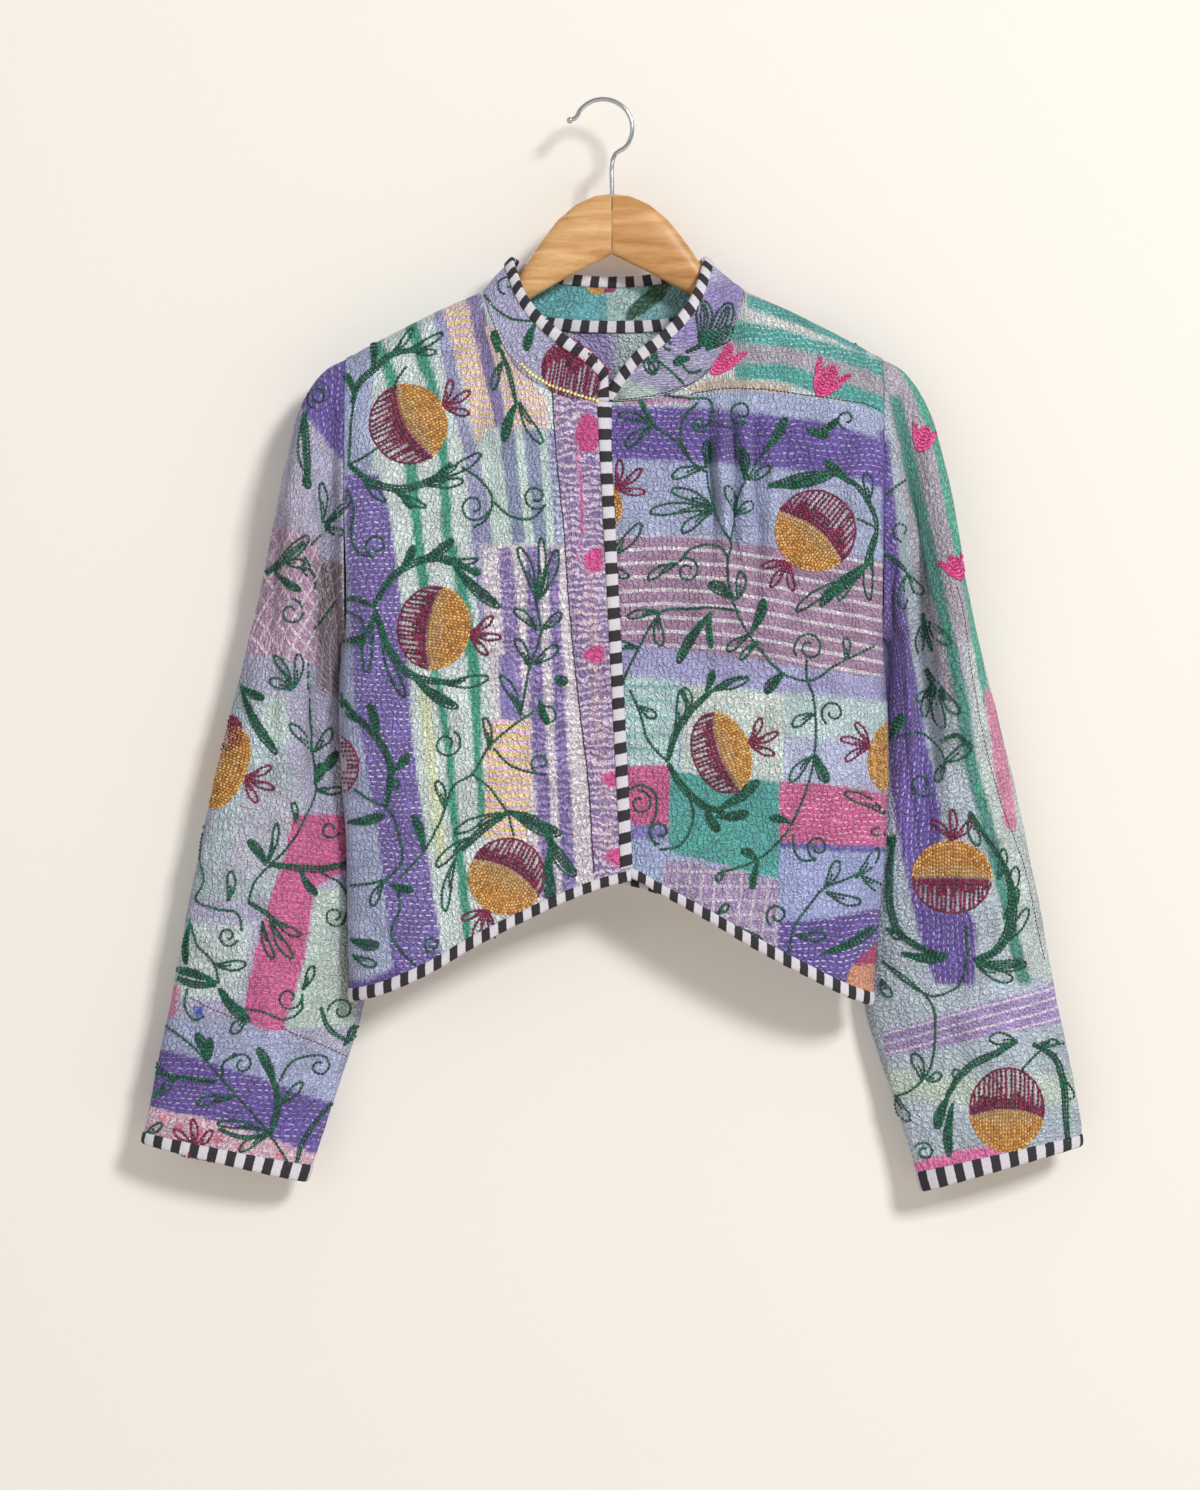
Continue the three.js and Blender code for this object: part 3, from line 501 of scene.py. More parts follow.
class Sleeve(Cloth):
    """A sleeve's tube from the armhole to the cuff, split along the underarm."""

    closed = True
    down_span = 16.0

    def __init__(self, side: Side) -> None:
        """Adds the ring that carries the cuff's binding.

        Args:
            side: the wearer's side.
        """
        self.side = side
        cuff, last = np.array(CUFFS[side], float), SLEEVE[-1]
        share = BAND / math.hypot(cuff[0] - last[0], cuff[1] - last[1])
        self.rings = np.vstack([SLEEVE, mix(cuff, last, share), cuff])

    def point(self, a: np.ndarray, b: np.ndarray) -> np.ndarray:
        """Finds points of the tube's middle surface.

        Args:
            a: angles round the tube, from the underarm.
            b: rings down from the armhole.

        Returns:
            The points.
        """
        across, depth = -np.cos(a), np.sin(a)
        b = np.clip(b, 0, self.down_span)
        r = [smooth(np.arange(17.0), self.rings[:, k], b) for k in range(8)]
        part = (across + 1) / 2
        out = depth * np.where(depth > 0, r[6], r[7])
        for start, end, first, last, lift, wide in SLEEVE_FOLDS[self.side]:
            down = np.clip((b - first) / (last - first), 0, 1)
            bump = np.exp(-(((across - mix(start, end, down)) / wide) ** 2))
            out = out + lift * np.sin(np.pi * down) * bump * np.maximum(depth, 0)
        z = mix(r[4], r[1], part) + CUFF_LIFT[self.side] * (1 - across**2) * np.clip(b - 14, 0, 1)
        x = CENTRE_X + self.side.value * mix(r[3], r[0], part)
        return np.stack([x, mix(r[5], r[2], part) - out, z], axis=-1)

    def spread(self) -> tuple[np.ndarray, np.ndarray]:
        """Spaces angles evenly along an oval, and rings evenly down the sleeve.

        Returns:
            The angles and the rings.
        """
        fine = np.linspace(0, 2 * np.pi, 2001)
        run = running(np.hypot(np.diff(70 * np.cos(fine)), np.diff(26 * np.sin(fine))))
        a = np.interp(np.linspace(0, run[-1], 149)[:-1], run, fine)
        rings = np.linspace(0, self.down_span, 1201)
        mid = self.point(np.full_like(rings, np.pi / 2), rings)
        run = running(np.linalg.norm(np.diff(mid, axis=0), axis=1))
        return a, np.interp(np.linspace(0, run[-1], 258), run, rings)

    def outward(self, points: np.ndarray) -> np.ndarray:
        """Points out of the tube.

        Args:
            points: the tube's points, as a grid or one ring.

        Returns:
            A rough direction for each.
        """
        if points.ndim == 3:
            return points - points.mean(axis=0, keepdims=True)
        return points - points.mean(axis=0)

    def tidy(self, normal: np.ndarray, a: np.ndarray, b: np.ndarray) -> None:
        """Keeps the first ring's normals across the seam's plane."""
        normal[:, 0, 0] *= 0.2


class Collar(Cloth):
    """The stand collar, from the right front's bound edge round the neck to the left's."""

    down_span = 3.0
    band = True

    def __init__(self) -> None:
        """Lays stations round the neck: seam, top and the ends at the fronts' edges."""
        seams, tops = [], []
        for side, rows in ((Side.RIGHT, range(15)), (Side.LEFT, range(13, -1, -1))):
            for i in rows:
                away, z, top_away, top_y, top_z = NECK[i]
                face = Face.FRONT if i <= NECK_SHOULDER else Face.BACK
                y = depth_at(face, side, away, z) * face.value
                seams.append((CENTRE_X + side.value * away, y, z))
                drop = UNDERLAP_DROP * (1 - i / 4) if side is Side.LEFT and i < 4 else 0
                tops.append((CENTRE_X + side.value * top_away - 4.5 * top_away / 80, top_y + drop, top_z))
        self.seams, self.tops = np.array(seams), np.array(tops)
        self.seams[:, 2] += SEAM_LIFT
        steps = np.linalg.norm(np.diff((self.seams + self.tops) / 2, axis=0), axis=1)
        self.w = running(steps) + COLLAR_END
        self.length = self.w[-1] + COLLAR_END
        self.ends = {side: self.end_column(side) for side in Side}

    def end_column(self, side: Side) -> np.ndarray:
        """Finds the collar's own edge on one side.

        Args:
            side: the wearer's side.

        Returns:
            Its four points from the seam to the top.
        """
        top = EDGES[side][0]
        ends = []
        for away, z in ((top, NECK_SEAM_Z), (top + BAND, NECK_SEAM_Z + 0.6)):
            y = -depth_at(Face.FRONT, side, away, z)
            ends.append(np.array([CENTRE_X + side.value * away, y, z + SEAM_LIFT]))
        edge, inner = ends
        start = inner + (inner - edge) / BAND * 1.5
        return np.array([start, (inner + start) / 2, inner, edge])

    def point(self, a: np.ndarray, b: np.ndarray) -> np.ndarray:
        """Finds points of the collar's middle surface.

        Args:
            a: places along it, in millimetres.
            b: places up it: 0 the seam, 2 the binding's foot, 3 the top.

        Returns:
            The points.
        """
        b = np.clip(b, 0, 3)
        inside = np.clip(a, self.w[0], self.w[-1])
        seam = np.stack([smooth(self.w, self.seams[:, k], inside) for k in range(3)], axis=-1)
        top = np.stack([smooth(self.w, self.tops[:, k], inside) for k in range(3)], axis=-1)
        height = np.linalg.norm(top - seam, axis=-1)
        bound = 1 - BAND / height
        share = np.where(b < 1, 0.45 * b, np.where(b < 2, mix(0.45, bound, b - 1), mix(bound, 1, b - 2)))
        point = mix(seam, top, share[..., None])
        for side, past in ((Side.RIGHT, self.w[0] - a), (Side.LEFT, a - self.w[-1])):
            end = np.stack([np.interp(b, [0, 1, 2, 3], self.ends[side][:, k]) for k in range(3)], axis=-1)
            point = mix(point, end, np.clip(past / COLLAR_END, 0, 1)[..., None])
        return point

    def spread(self) -> tuple[np.ndarray, np.ndarray]:
        """Spaces the mesh's vertices.

        Returns:
            Places along and places up.
        """
        a = np.linspace(0, self.length, int(self.length / 2.1) + 1)
        low, high = np.linspace(0, 1, 10)[:-1], np.linspace(1, 2, 10)[:-1]
        return a, np.concatenate([low, high, np.linspace(2, 3, 5)])

    def outward(self, points: np.ndarray) -> np.ndarray:
        """Returns the way out from the neck."""
        up = np.full(points.shape[:-1], 12.0)
        return np.stack([points[..., 0] - CENTRE_X, points[..., 1] * 2.5, up], axis=-1)


class Way(Enum):
    """How a patch of print is bounded: by its two sides down it, or by its top and foot across it."""

    DOWN = 0
    ACROSS = 1


@dataclass(frozen=True)
class Patch:
    """One dyed or pieced area, with how strongly each fine pattern shows on it.

    Rows are (y, left, right) for a patch that runs down, and (x, top, foot) for one that runs across.
    """

    way: Way
    rows: tuple[tuple[float, float, float], ...]
    colour: str
    dash: float = 0.0
    ladder: float = 0.0
    plaid: float = 0.0
    bars: float = 0.0
    speck: float = 0.25
    lines: float = 0.0
    soft: float = 1.5
    full: float = 1.0


def down(colour: str, *rows: tuple[float, float, float], **fine: float) -> Patch:
    """Returns a patch that runs down between a left and a right side."""
    return Patch(Way.DOWN, rows, colour, **fine)


def across(colour: str, *rows: tuple[float, float, float], **fine: float) -> Patch:
    """Returns a patch that runs across between a top and a foot."""
    return Patch(Way.ACROSS, rows, colour, **fine)


PURPLE, LAVENDER, MINT, PALE = "#6049a0", "#abb6d7", "#cbe1db", "#d8e8e4"
TEAL, GREEN, PINK, CREAM = "#44a69c", "#2c9a7c", "#cf5a91", "#f4ecee"
MAUVE, GREY = "#a984a2", "#b0abb3"

PRINT_RIGHT = [
    across(LAVENDER, (335, 350, 480), (352, 340, 480), (372, 330, 470), soft=5),
    down(LAVENDER, (520, 335, 352), (700, 336, 356), (740, 340, 363), (850, 340, 381), (1005, 343, 397)),
    down(
        "#7361ae", (474, 344, 379), (500, 344, 388), (560, 347, 396), (640, 351, 406), (700, 354, 411),
        (740, 362, 413), (850, 380, 428), (1000, 396, 448), dash=0.85,
    ),
    across(PURPLE, (343, 984, 1010), (370, 980, 1005), (402, 962, 990), soft=4),
    down(
        "#a3a6cb", (300, 430, 446), (410, 452, 464), (449, 464, 477), (520, 470, 493), (640, 481, 496),
        speck=0.8,
    ),
    down(
        GREEN, (318, 360, 373), (340, 369, 382), (373, 384, 396), (471, 405, 417), (534, 413, 423),
        (600, 420, 431), (678, 433, 441), (757, 446, 454), (822, 450, 459), (875, 458, 467),
        (960, 465, 474),
    ),
    down(
        GREEN, (305, 398, 411), (367, 418, 432), (382, 426, 437), (436, 438, 447), (497, 440, 451),
        (534, 442, 452), (580, 455, 467), (616, 462, 473), (678, 469, 481), (757, 474, 482),
        (836, 481, 488),
    ),
    down("#dfe9c0", (690, 418, 430), (800, 430, 441), (860, 436, 448), soft=5),
    down("#e8c6df", (285, 436, 466), (354, 455, 480), (393, 467, 491), (440, 475, 503), bars=0.9),
    down("#8d7eaf", (290, 464, 480), (343, 476, 491), (410, 492, 504), (432, 496, 507), speck=1.0),
    down("#eccbe2", (325, 484, 500), (367, 496, 520), (400, 504, 546), (452, 510, 552), bars=0.75),
    down(MINT, (428, 482, 556), (500, 488, 562), (566, 496, 568), soft=5),
    down("#8b9cba", (430, 499, 514), (520, 510, 523), (566, 516, 527), speck=0.7),
    down("#8b9cba", (430, 523, 539), (520, 532, 545), (566, 537, 548), speck=0.7),
    down("#b7c3dc", (430, 547, 556), (520, 553, 562), (566, 557, 566), ladder=0.7),
    down(CREAM, (545, 482, 568), (640, 486, 578), (760, 500, 590), (925, 512, 596), soft=5, ladder=0.4),
    down("#b49fd2", (548, 499, 511), (640, 503, 520), (720, 508, 524), ladder=0.9),
    down("#a48fca", (548, 525, 538), (720, 531, 545), (900, 543, 556), ladder=1.0),
    down("#a48fca", (548, 547, 557), (720, 554, 566), (900, 564, 577), ladder=1.0),
    down("#8d80c2", (655, 499, 512), (700, 500, 519), (722, 501, 521)),
    down("#ecc4dd", (720, 486, 530), (780, 486, 532), (838, 483, 528), bars=1.0),
    down(
        "#dfc6df", (383, 552, 602), (519, 563, 604), (605, 569, 606), (686, 577, 614), (778, 588, 622),
        (880, 594, 634), ladder=0.9, speck=0.4,
    ),
    down("#d8ad74", (560, 584, 596), (720, 592, 602), (860, 606, 616), soft=8, ladder=0.5, full=0.3),
    down("#d4418c", (412, 584, 586), (420, 578, 600), (440, 574, 600), (452, 580, 596)),
    down("#d4418c", (452, 576, 579), (505, 580, 584), (530, 581, 583), (560, 577, 579)),
    down("#d4418c", (548, 592, 602), (560, 582, 602), (572, 588, 602)),
    down("#d4418c", (646, 592, 604), (655, 581, 604), (664, 592, 604)),
    down("#d4418c", (772, 604, 622), (780, 601, 622), (788, 608, 622)),
    down("#d4418c", (848, 612, 624), (858, 602, 626), (866, 612, 626)),
]
PRINT_LEFT = [
    across(MINT, (612, 392, 408), (700, 380, 408), soft=4),
    across(
        "#d6dcd8", (680, 392, 396), (700, 366, 392), (715, 336, 391), (745, 280, 389), (820, 290, 398),
        (892, 330, 416), (935, 360, 470),
    ),
    across(
        GREY, (735, 340, 364), (780, 344, 366), (820, 350, 377), (850, 356, 388), (880, 366, 400),
        (930, 390, 450), speck=0.5, soft=4,
    ),
    across(TEAL, (748, 291, 306), (790, 306, 320), (830, 322, 336), (870, 342, 352), dash=0.5, soft=3),
    across(
        TEAL, (728, 318, 340), (780, 327, 346), (820, 339, 353), (870, 352, 369), (905, 368, 388),
        (930, 395, 420), dash=0.7, soft=3,
    ),
    across(
        TEAL, (735, 364, 378), (780, 363, 381), (815, 372, 393), (850, 384, 402), (885, 396, 413),
        (905, 415, 450), dash=0.3, soft=3,
    ),
    across("#cbb9a6", (690, 384, 392), (722, 377, 391), (760, 382, 390), (790, 386, 394), soft=3),
    across("#b98cb0", (622, 398, 405), (700, 394, 403), soft=3),
    across(
        LAVENDER, (690, 396, 420), (720, 391, 420), (780, 392, 425), (860, 404, 440), (890, 416, 445),
        soft=2,
    ),
    across(
        PURPLE, (600, 404, 458), (650, 406, 460), (708, 408, 462), (763, 414, 468), (817, 421, 472),
        (860, 432, 480), (892, 444, 494), dash=0.45, soft=4,
    ),
    across(MAUVE, (600, 536, 640), (700, 537, 655), (760, 546, 662), (895, 562, 680), speck=0.6, lines=1.0),
    across("#a4a2d0", (605, 640, 674), (700, 652, 682), (790, 668, 694), (895, 680, 704), soft=9),
    across("#bfdddc", (612, 676, 766), (680, 680, 772), soft=6, speck=0.5),
    *[across("#5fb3ad", (618, y, y + 4), (655, y + 1, y + 4), (690, y + 2, y + 3), soft=3, full=0.7)
      for y in (684, 698, 716, 733, 748)],
    across("#c9e0dd", (682, 684, 778), (740, 690, 782), (784, 694, 786), soft=3, plaid=0.8, bars=0.15),
    across("#c0d6d8", (784, 692, 738), (895, 702, 742), soft=6),
    across("#b6bfe0", (784, 738, 782), (895, 742, 796), soft=6, plaid=0.25),
    across(PINK, (612, 765, 824), (671, 765, 826), dash=0.15, speck=0.3),
    across("#7f78bd", (620, 824, 838), (668, 826, 840), soft=5),
    across("#a6b6dd", (618, 838, 900), (675, 840, 900), soft=4),
    across(TEAL, (669, 771, 851), (725, 775, 865), (781, 782, 879), speck=0.4),
    across(PINK, (779, 781, 841), (835, 785, 845), (893, 795, 848), dash=0.7),
    across("#5d56a8", (779, 841, 847), (835, 845, 851), (893, 848, 854)),
    across("#a893bd", (664, 860, 960), (725, 868, 960), (779, 880, 960), plaid=0.75),
    across("#a2acdc", (779, 848, 925), (835, 852, 922), (893, 856, 914)),
    across(PURPLE, (778, 921, 1005), (830, 918, 1005), (893, 906, 1010), dash=0.75),
    down("#a8235a", (944, 879, 884), (956, 862, 884), (966, 854, 884)),
    down("#d9956f", (966, 852, 884), (985, 846, 884), (1008, 840, 884)),
    down(PURPLE, (430, 880, 892), (560, 884, 892), (700, 886, 896), soft=3),
]
PRINT_SLEEVE_RIGHT = [
    across(
        PURPLE, (292, 395, 402), (300, 372, 405), (313, 355, 425), (325, 350, 441), (352, 340, 470),
        dash=0.35,
    ),
    across("#bdb6ce", (240, 440, 525), (310, 420, 535), soft=10),
    across("#b78fb2", (236, 520, 652), (318, 534, 664), plaid=1.0),
    # partly painted shade: a brownish plaid patch, dyed darker than its own colour to stand for the shade of
    # the fold beside the body
    across("#7b6b75", (314, 556, 690), (352, 566, 700), plaid=0.5, soft=6),
    down("#b7c9d0", (690, 225, 262), (800, 218, 300), (900, 175, 300), soft=14),
    down(MINT, (695, 264, 284), (745, 262, 288), soft=9),
    down("#b9bccb", (780, 250, 300), (880, 215, 275), soft=12),
    down(
        PINK, (815, 291, 350), (868, 280, 350), (887, 272, 314), (956, 252, 303), (1032, 238, 281),
        dash=0.1,
    ),
    down("#c4d6cd", (890, 312, 352), (956, 304, 352), (1030, 284, 352), soft=3),
    down("#c9d8d8", (925, 168, 250), (1000, 160, 240), soft=8),
    down("#d98aac", (988, 160, 176), (1040, 152, 168), soft=3),
    across("#a9b2d6", (150, 1020, 1056), (240, 1022, 1075), (350, 1064, 1118), soft=3),
    down("#3f55b8", (1008, 190, 202), (1020, 192, 200), soft=2),
    across(PURPLE, (146, 1050, 1112), (200, 1062, 1121), (262, 1082, 1141), (332, 1110, 1168), dash=0.5),
    across(
        "#e0b4c8", (130, 1108, 1200), (200, 1120, 1200), (262, 1140, 1210), (332, 1166, 1210), ladder=0.0,
        plaid=0.6,
    ),
    *[across("#e07f98", (x - 4, y - 4, y + 4), (x + 4, y - 4, y + 4), soft=2)
      for x, y in ((158, 1122), (176, 1130), (196, 1136), (216, 1142), (238, 1150), (186, 1150), (210, 1158),
                   (166, 1144), (250, 1166), (276, 1160), (298, 1170), (230, 1168))],
]
PRINT_SLEEVE_LEFT = [
    down("#b4adb8", (350, 880, 960), (500, 905, 975), (640, 930, 990), (700, 950, 1010), soft=6, speck=0.4),
    down("#c7d4cf", (640, 965, 1000), (760, 980, 1020), (980, 1010, 1060), soft=8),
    down(
        PURPLE, (440, 878, 890), (564, 882, 901), (649, 885, 915), (733, 890, 928), (789, 894, 941),
        (846, 902, 946), (930, 920, 978), (986, 938, 976), dash=0.5, soft=3,
    ),
    down(
        "#2e8f74", (395, 890, 903), (480, 908, 922), (536, 922, 934), (592, 932, 946), (649, 946, 958),
        (705, 957, 970), (761, 964, 978), (832, 984, 998), (889, 998, 1010), (985, 1020, 1034), ladder=0.3,
        soft=3,
    ),
    down(
        "#46a98e", (355, 895, 912), (388, 914, 926), (447, 935, 945), (514, 948, 958), (592, 966, 976),
        (649, 976, 986), (705, 986, 994), dash=0.3,
    ),
    down("#d98aa8", (690, 986, 998), (761, 996, 1012), (830, 1008, 1022), soft=3),
    across(
        "#ab93ca", (888, 1036, 1060), (930, 1022, 1053), (980, 1006, 1041), (1030, 994, 1031),
        (1075, 981, 1024), speck=0.7, lines=0.9,
    ),
    across("#c7d8c9", (890, 1072, 1102), (980, 1080, 1110), (1090, 1074, 1106), soft=12),
    across("#e46fa9", (915, 1168, 1210), (960, 1154, 1205), (1004, 1147, 1200), speck=0.3),
]
PRINT_COLLAR = [
    across("#a391cf", (660, 270, 350), (700, 290, 345), (745, 270, 300), soft=14, speck=0.8),
    across(MINT, (612, 376, 410), (660, 388, 410), soft=5),
    across("#b7b6d8", (480, 250, 400), (600, 300, 410), soft=20, speck=0.4),
]
INSIDE_COLLAR = [
    across("#5fb0b5", (530, 262, 330), (607, 262, 330), soft=3),
    across("#a4cfca", (607, 262, 330), (640, 262, 330), soft=5, plaid=0.4),
    across("#7fb9bd", (640, 262, 330), (705, 262, 330), soft=4),
    down("#cf9338", (268, 580, 606), (280, 586, 604), (287, 592, 602)),
    down("#97245a", (268, 606, 626), (278, 604, 620), (285, 602, 612)),
    down("#0d5a33", (274, 652, 674), (285, 646, 668), (296, 634, 658), (306, 626, 646), (314, 625, 632)),
]
INSIDE_BODY = [
    down("#a996cf", (320, 575, 610), (420, 575, 610), soft=6, speck=0.5),
    down("#b9cdcb", (320, 618, 690), (420, 618, 690), soft=6),
    across("#a9b0d6", (300, 500, 620), (900, 520, 640), soft=20),
    across(TEAL, (300, 700, 800), (500, 720, 820), soft=3),
    across(PURPLE, (640, 760, 860), (900, 780, 880), soft=3, dash=0.6),
]


@dataclass
class Print:
    """Colours and fine patterns laid on a cloth's vertices, by their place in the picture plane."""

    px: np.ndarray
    py: np.ndarray
    ground: str
    rgb: np.ndarray = field(init=False)
    fine: np.ndarray = field(init=False)

    def __post_init__(self) -> None:
        """Lays the ground and frays the places a little, so that no dyed edge is ruled straight."""
        self.rgb = np.tile(linear(self.ground), (len(self.px), 1))
        self.fine = np.tile([0, 0.1, 0, 0, 0.3, 0], (len(self.px), 1))
        self.px = self.px + 0.9 * cloudy(self.px, self.py, 7, 3)
        self.py = self.py + 0.9 * cloudy(self.px, self.py, 7, 4)

    def lay(self, mask: np.ndarray, colour: str, fine: tuple[float, ...] = (0, 0, 0, 0, 0.1, 0)) -> None:
        """Dyes what a mask covers.

        Args:
            mask: how much each vertex takes, 0 to 1.
            colour: hex colour.
            fine: strengths of dash, ladder, plaid, bars, speck and lines there.
        """
        self.rgb += (linear(colour) - self.rgb) * mask[:, None]
        self.fine += (np.array(fine) - self.fine) * mask[:, None]

    def patch(self, patch: Patch) -> None:
        """Dyes one patch.

        Args:
            patch: the patch.
        """
        rows = np.array(patch.rows, float)
        run, side = (self.py, self.px) if patch.way is Way.DOWN else (self.px, self.py)
        low, high = np.interp(run, rows[:, 0], rows[:, 1]), np.interp(run, rows[:, 0], rows[:, 2])
        mask = np.ones(len(run))
        for inside in (run - rows[0, 0], rows[-1, 0] - run, side - low, high - side):
            mask = mask * np.clip(inside / patch.soft + 0.5, 0, 1)
        fine = (patch.dash, patch.ladder, patch.plaid, patch.bars, patch.speck, patch.lines)
        self.lay(mask * patch.full, patch.colour, fine)

    def fruit(self, fruit: "Fruit") -> None:
        """Dyes the ground under a fruit, gold towards the crown and maroon past the parting.

        Args:
            fruit: the fruit.
        """
        along, side = fruit.local(self.px, self.py)
        reach = np.hypot(along / fruit.long, side / fruit.wide)
        inside = np.clip((1 - reach) * fruit.wide / 1.6 + 0.5, 0, 1)
        parting = fruit.parting(side)
        gold = inside * np.clip((along - parting) / 1.6 + 0.5, 0, 1)
        shade = np.clip(1 - (parting - along) / (fruit.long * 0.75), 0, 1)
        self.lay(inside * (1 - gold) * 0.6, "#cdc3cc")
        self.lay(inside * (1 - gold) * 0.55 * shade**2, "#74294c")
        self.lay(gold, "#cf9a4c")


@dataclass(frozen=True)
class Fruit:
    """A pomegranate in chain stitch: its middle, its size, its crown's way and where its colours part.

    A part past 1 leaves no gold in it, and one below -1 no maroon.
    """

    x: float
    y: float
    long: float
    wide: float
    angle: float
    part: float = 0.05
    bend: float = 0.25
    crown: float = 1.0

    def axes(self) -> tuple[np.ndarray, np.ndarray]:
        """Returns the directions along the fruit, towards the crown, and across it."""
        c, s = math.cos(math.radians(self.angle)), math.sin(math.radians(self.angle))
        return np.array([c, s]), np.array([-s, c])

    def local(self, x: np.ndarray, y: np.ndarray) -> tuple[np.ndarray, np.ndarray]:
        """Returns places as seen along and across the fruit."""
        u, v = self.axes()
        return (x - self.x) * u[0] + (y - self.y) * u[1], (x - self.x) * v[0] + (y - self.y) * v[1]

    def parting(self, side: np.ndarray) -> np.ndarray:
        """Returns where along the fruit gold meets maroon, bowed by its bend."""
        return self.long * (self.part - self.bend * (1 - (side / self.wide) ** 2))

    def place(self, along: float, side: float) -> tuple[float, float]:
        """Returns a place given along and across the fruit, in the picture plane."""
        u, v = self.axes()
        return self.x + along * u[0] + side * v[0], self.y + along * u[1] + side * v[1]


@dataclass(frozen=True)
class Sprays:
    """All the embroidery of one piece, placed in picture units.

    vines: (strands, points). leaves: (foot x, y, tip x, y, width), filled where width is negative.
    curls: (x, y, radius, start in degrees, turns). blooms: pink flowers (x, y, size, the way they open).
    """

    vines: tuple = ()
    leaves: tuple = ()
    curls: tuple = ()
    fruits: tuple = ()
    blooms: tuple = ()
    seams: tuple = ()


SPRAYS_RIGHT = Sprays(
    vines=(
        (3, ((352, 402), (357, 384), (372, 369), (391, 353), (414, 348))),
        (3, ((350, 466), (370, 481), (400, 489), (430, 481), (452, 464))),
        (1, ((353, 401), (350, 432), (349, 466))), (1, ((378, 448), (362, 458), (350, 464))),
        (1, ((406, 366), (398, 377), (394, 386))),
        (1, ((462, 467), (480, 480), (492, 498), (486, 520), (474, 528))),
        (1, ((494, 503), (512, 517), (532, 519), (546, 505))), (2, ((500, 348), (509, 372), (516, 403))),
        (1, ((347, 488), (354, 510), (351, 530), (358, 552), (374, 558))),
        (3, ((374, 606), (394, 576), (420, 561), (450, 560), (472, 572))),
        (1, ((536, 600), (541, 632), (530, 668), (521, 715))), (2, ((334, 604), (352, 598), (374, 607))),
        (3, ((375, 610), (390, 650), (410, 674), (440, 682), (462, 682))),
        (3, ((336, 690), (352, 713), (376, 736), (390, 762), (387, 806))),
        (1, ((353, 789), (370, 800), (387, 808), (400, 838), (402, 862), (386, 880))),
        (1, ((386, 880), (368, 884), (348, 887))),
        (1, ((397, 882), (400, 908), (392, 934), (405, 955), (416, 966))),
        (1, (
            (400, 878), (425, 850), (445, 810), (454, 786), (472, 774), (490, 746), (510, 728), (534, 712),
        )),
        (1, ((472, 774), (488, 786), (508, 812))), (3, ((508, 812), (482, 830), (462, 850))),
        (3, ((508, 812), (534, 819), (552, 836))), (1, ((508, 812), (514, 836))),
        (1, ((494, 748), (510, 765), (534, 773))), (1, ((345, 610), (362, 620), (360, 650))),
    ),
    leaves=(
        (372, 369, 371, 336, -5), (388, 356, 412, 326, 5), (400, 352, 442, 332, 6), (412, 350, 436, 351, 5),
        (354, 396, 345, 372, -4), (430, 480, 481, 454, 8), (424, 484, 463, 481, 7), (362, 474, 385, 502, 6),
        (392, 488, 426, 507, 5), (400, 489, 412, 508, -4), (497, 352, 494, 330, -7),
        (503, 360, 493, 389, 6), (517, 402, 504, 441, -7), (519, 402, 542, 443, 8),
        (400, 572, 414, 546, -6), (420, 562, 453, 540, -7), (452, 562, 500, 608, -8),
        (468, 568, 480, 574, -5), (440, 562, 478, 560, 5), (536, 600, 519, 548, 8), (537, 598, 541, 538, 6),
        (539, 600, 557, 550, 8), (538, 631, 515, 610, 7), (541, 630, 561, 613, 7), (530, 668, 516, 639, 7),
        (532, 664, 558, 646, 8), (521, 714, 501, 676, 7), (375, 612, 367, 672, 8), (381, 622, 405, 697, 8),
        (440, 683, 488, 678, 9), (414, 678, 458, 708, -8), (350, 640, 365, 641, -5),
        (337, 692, 350, 714, 6), (378, 736, 369, 704, -6), (393, 772, 409, 754, -6),
        (388, 790, 399, 781, 5), (345, 823, 384, 815, -7), (384, 881, 372, 906, 7),
        (390, 884, 413, 890, -6), (424, 850, 414, 815, -6), (445, 808, 437, 781, 7),
        (490, 750, 485, 718, 6), (506, 813, 455, 833, 8), (474, 836, 437, 866, 8), (456, 858, 445, 911, 7),
        (512, 813, 561, 834, -10), (546, 832, 575, 876, -10), (550, 848, 552, 902, -9),
        (348, 940, 378, 946, -8), (350, 956, 376, 965, 7), (540, 700, 548, 724, -5),
        (556, 676, 566, 684, -8), (339, 700, 356, 720, 5), (340, 640, 362, 638, 5),
    ),
    curls=(
        (474, 507, 15, 20, 1.2), (536, 497, 13, 60, 1.2), (377, 546, 12, 120, 1.2),
        (447, 744, 15, -60, 1.3), (548, 716, 11, 200, 1.1), (541, 763, 12, 60, 1.1), (433, 944, 9, 90, 1.2),
        (342, 500, 9, 0, 1.0),
    ),
    fruits=(
        Fruit(408, 424, 38, 40, -28, part=0.2),
        Fruit(434, 628, 36, 41, 8, part=0.08),
        Fruit(507, 876, 38, 37, 118, part=0.05),
        Fruit(327, 766, 31, 32, 180, part=1.3, crown=0),
    ),
    seams=(
        ("#4b1f45", 1.7, (
            (552, 386), (557, 464), (563, 519), (569, 605), (577, 686), (588, 778), (594, 872),
        )),
    ),
)
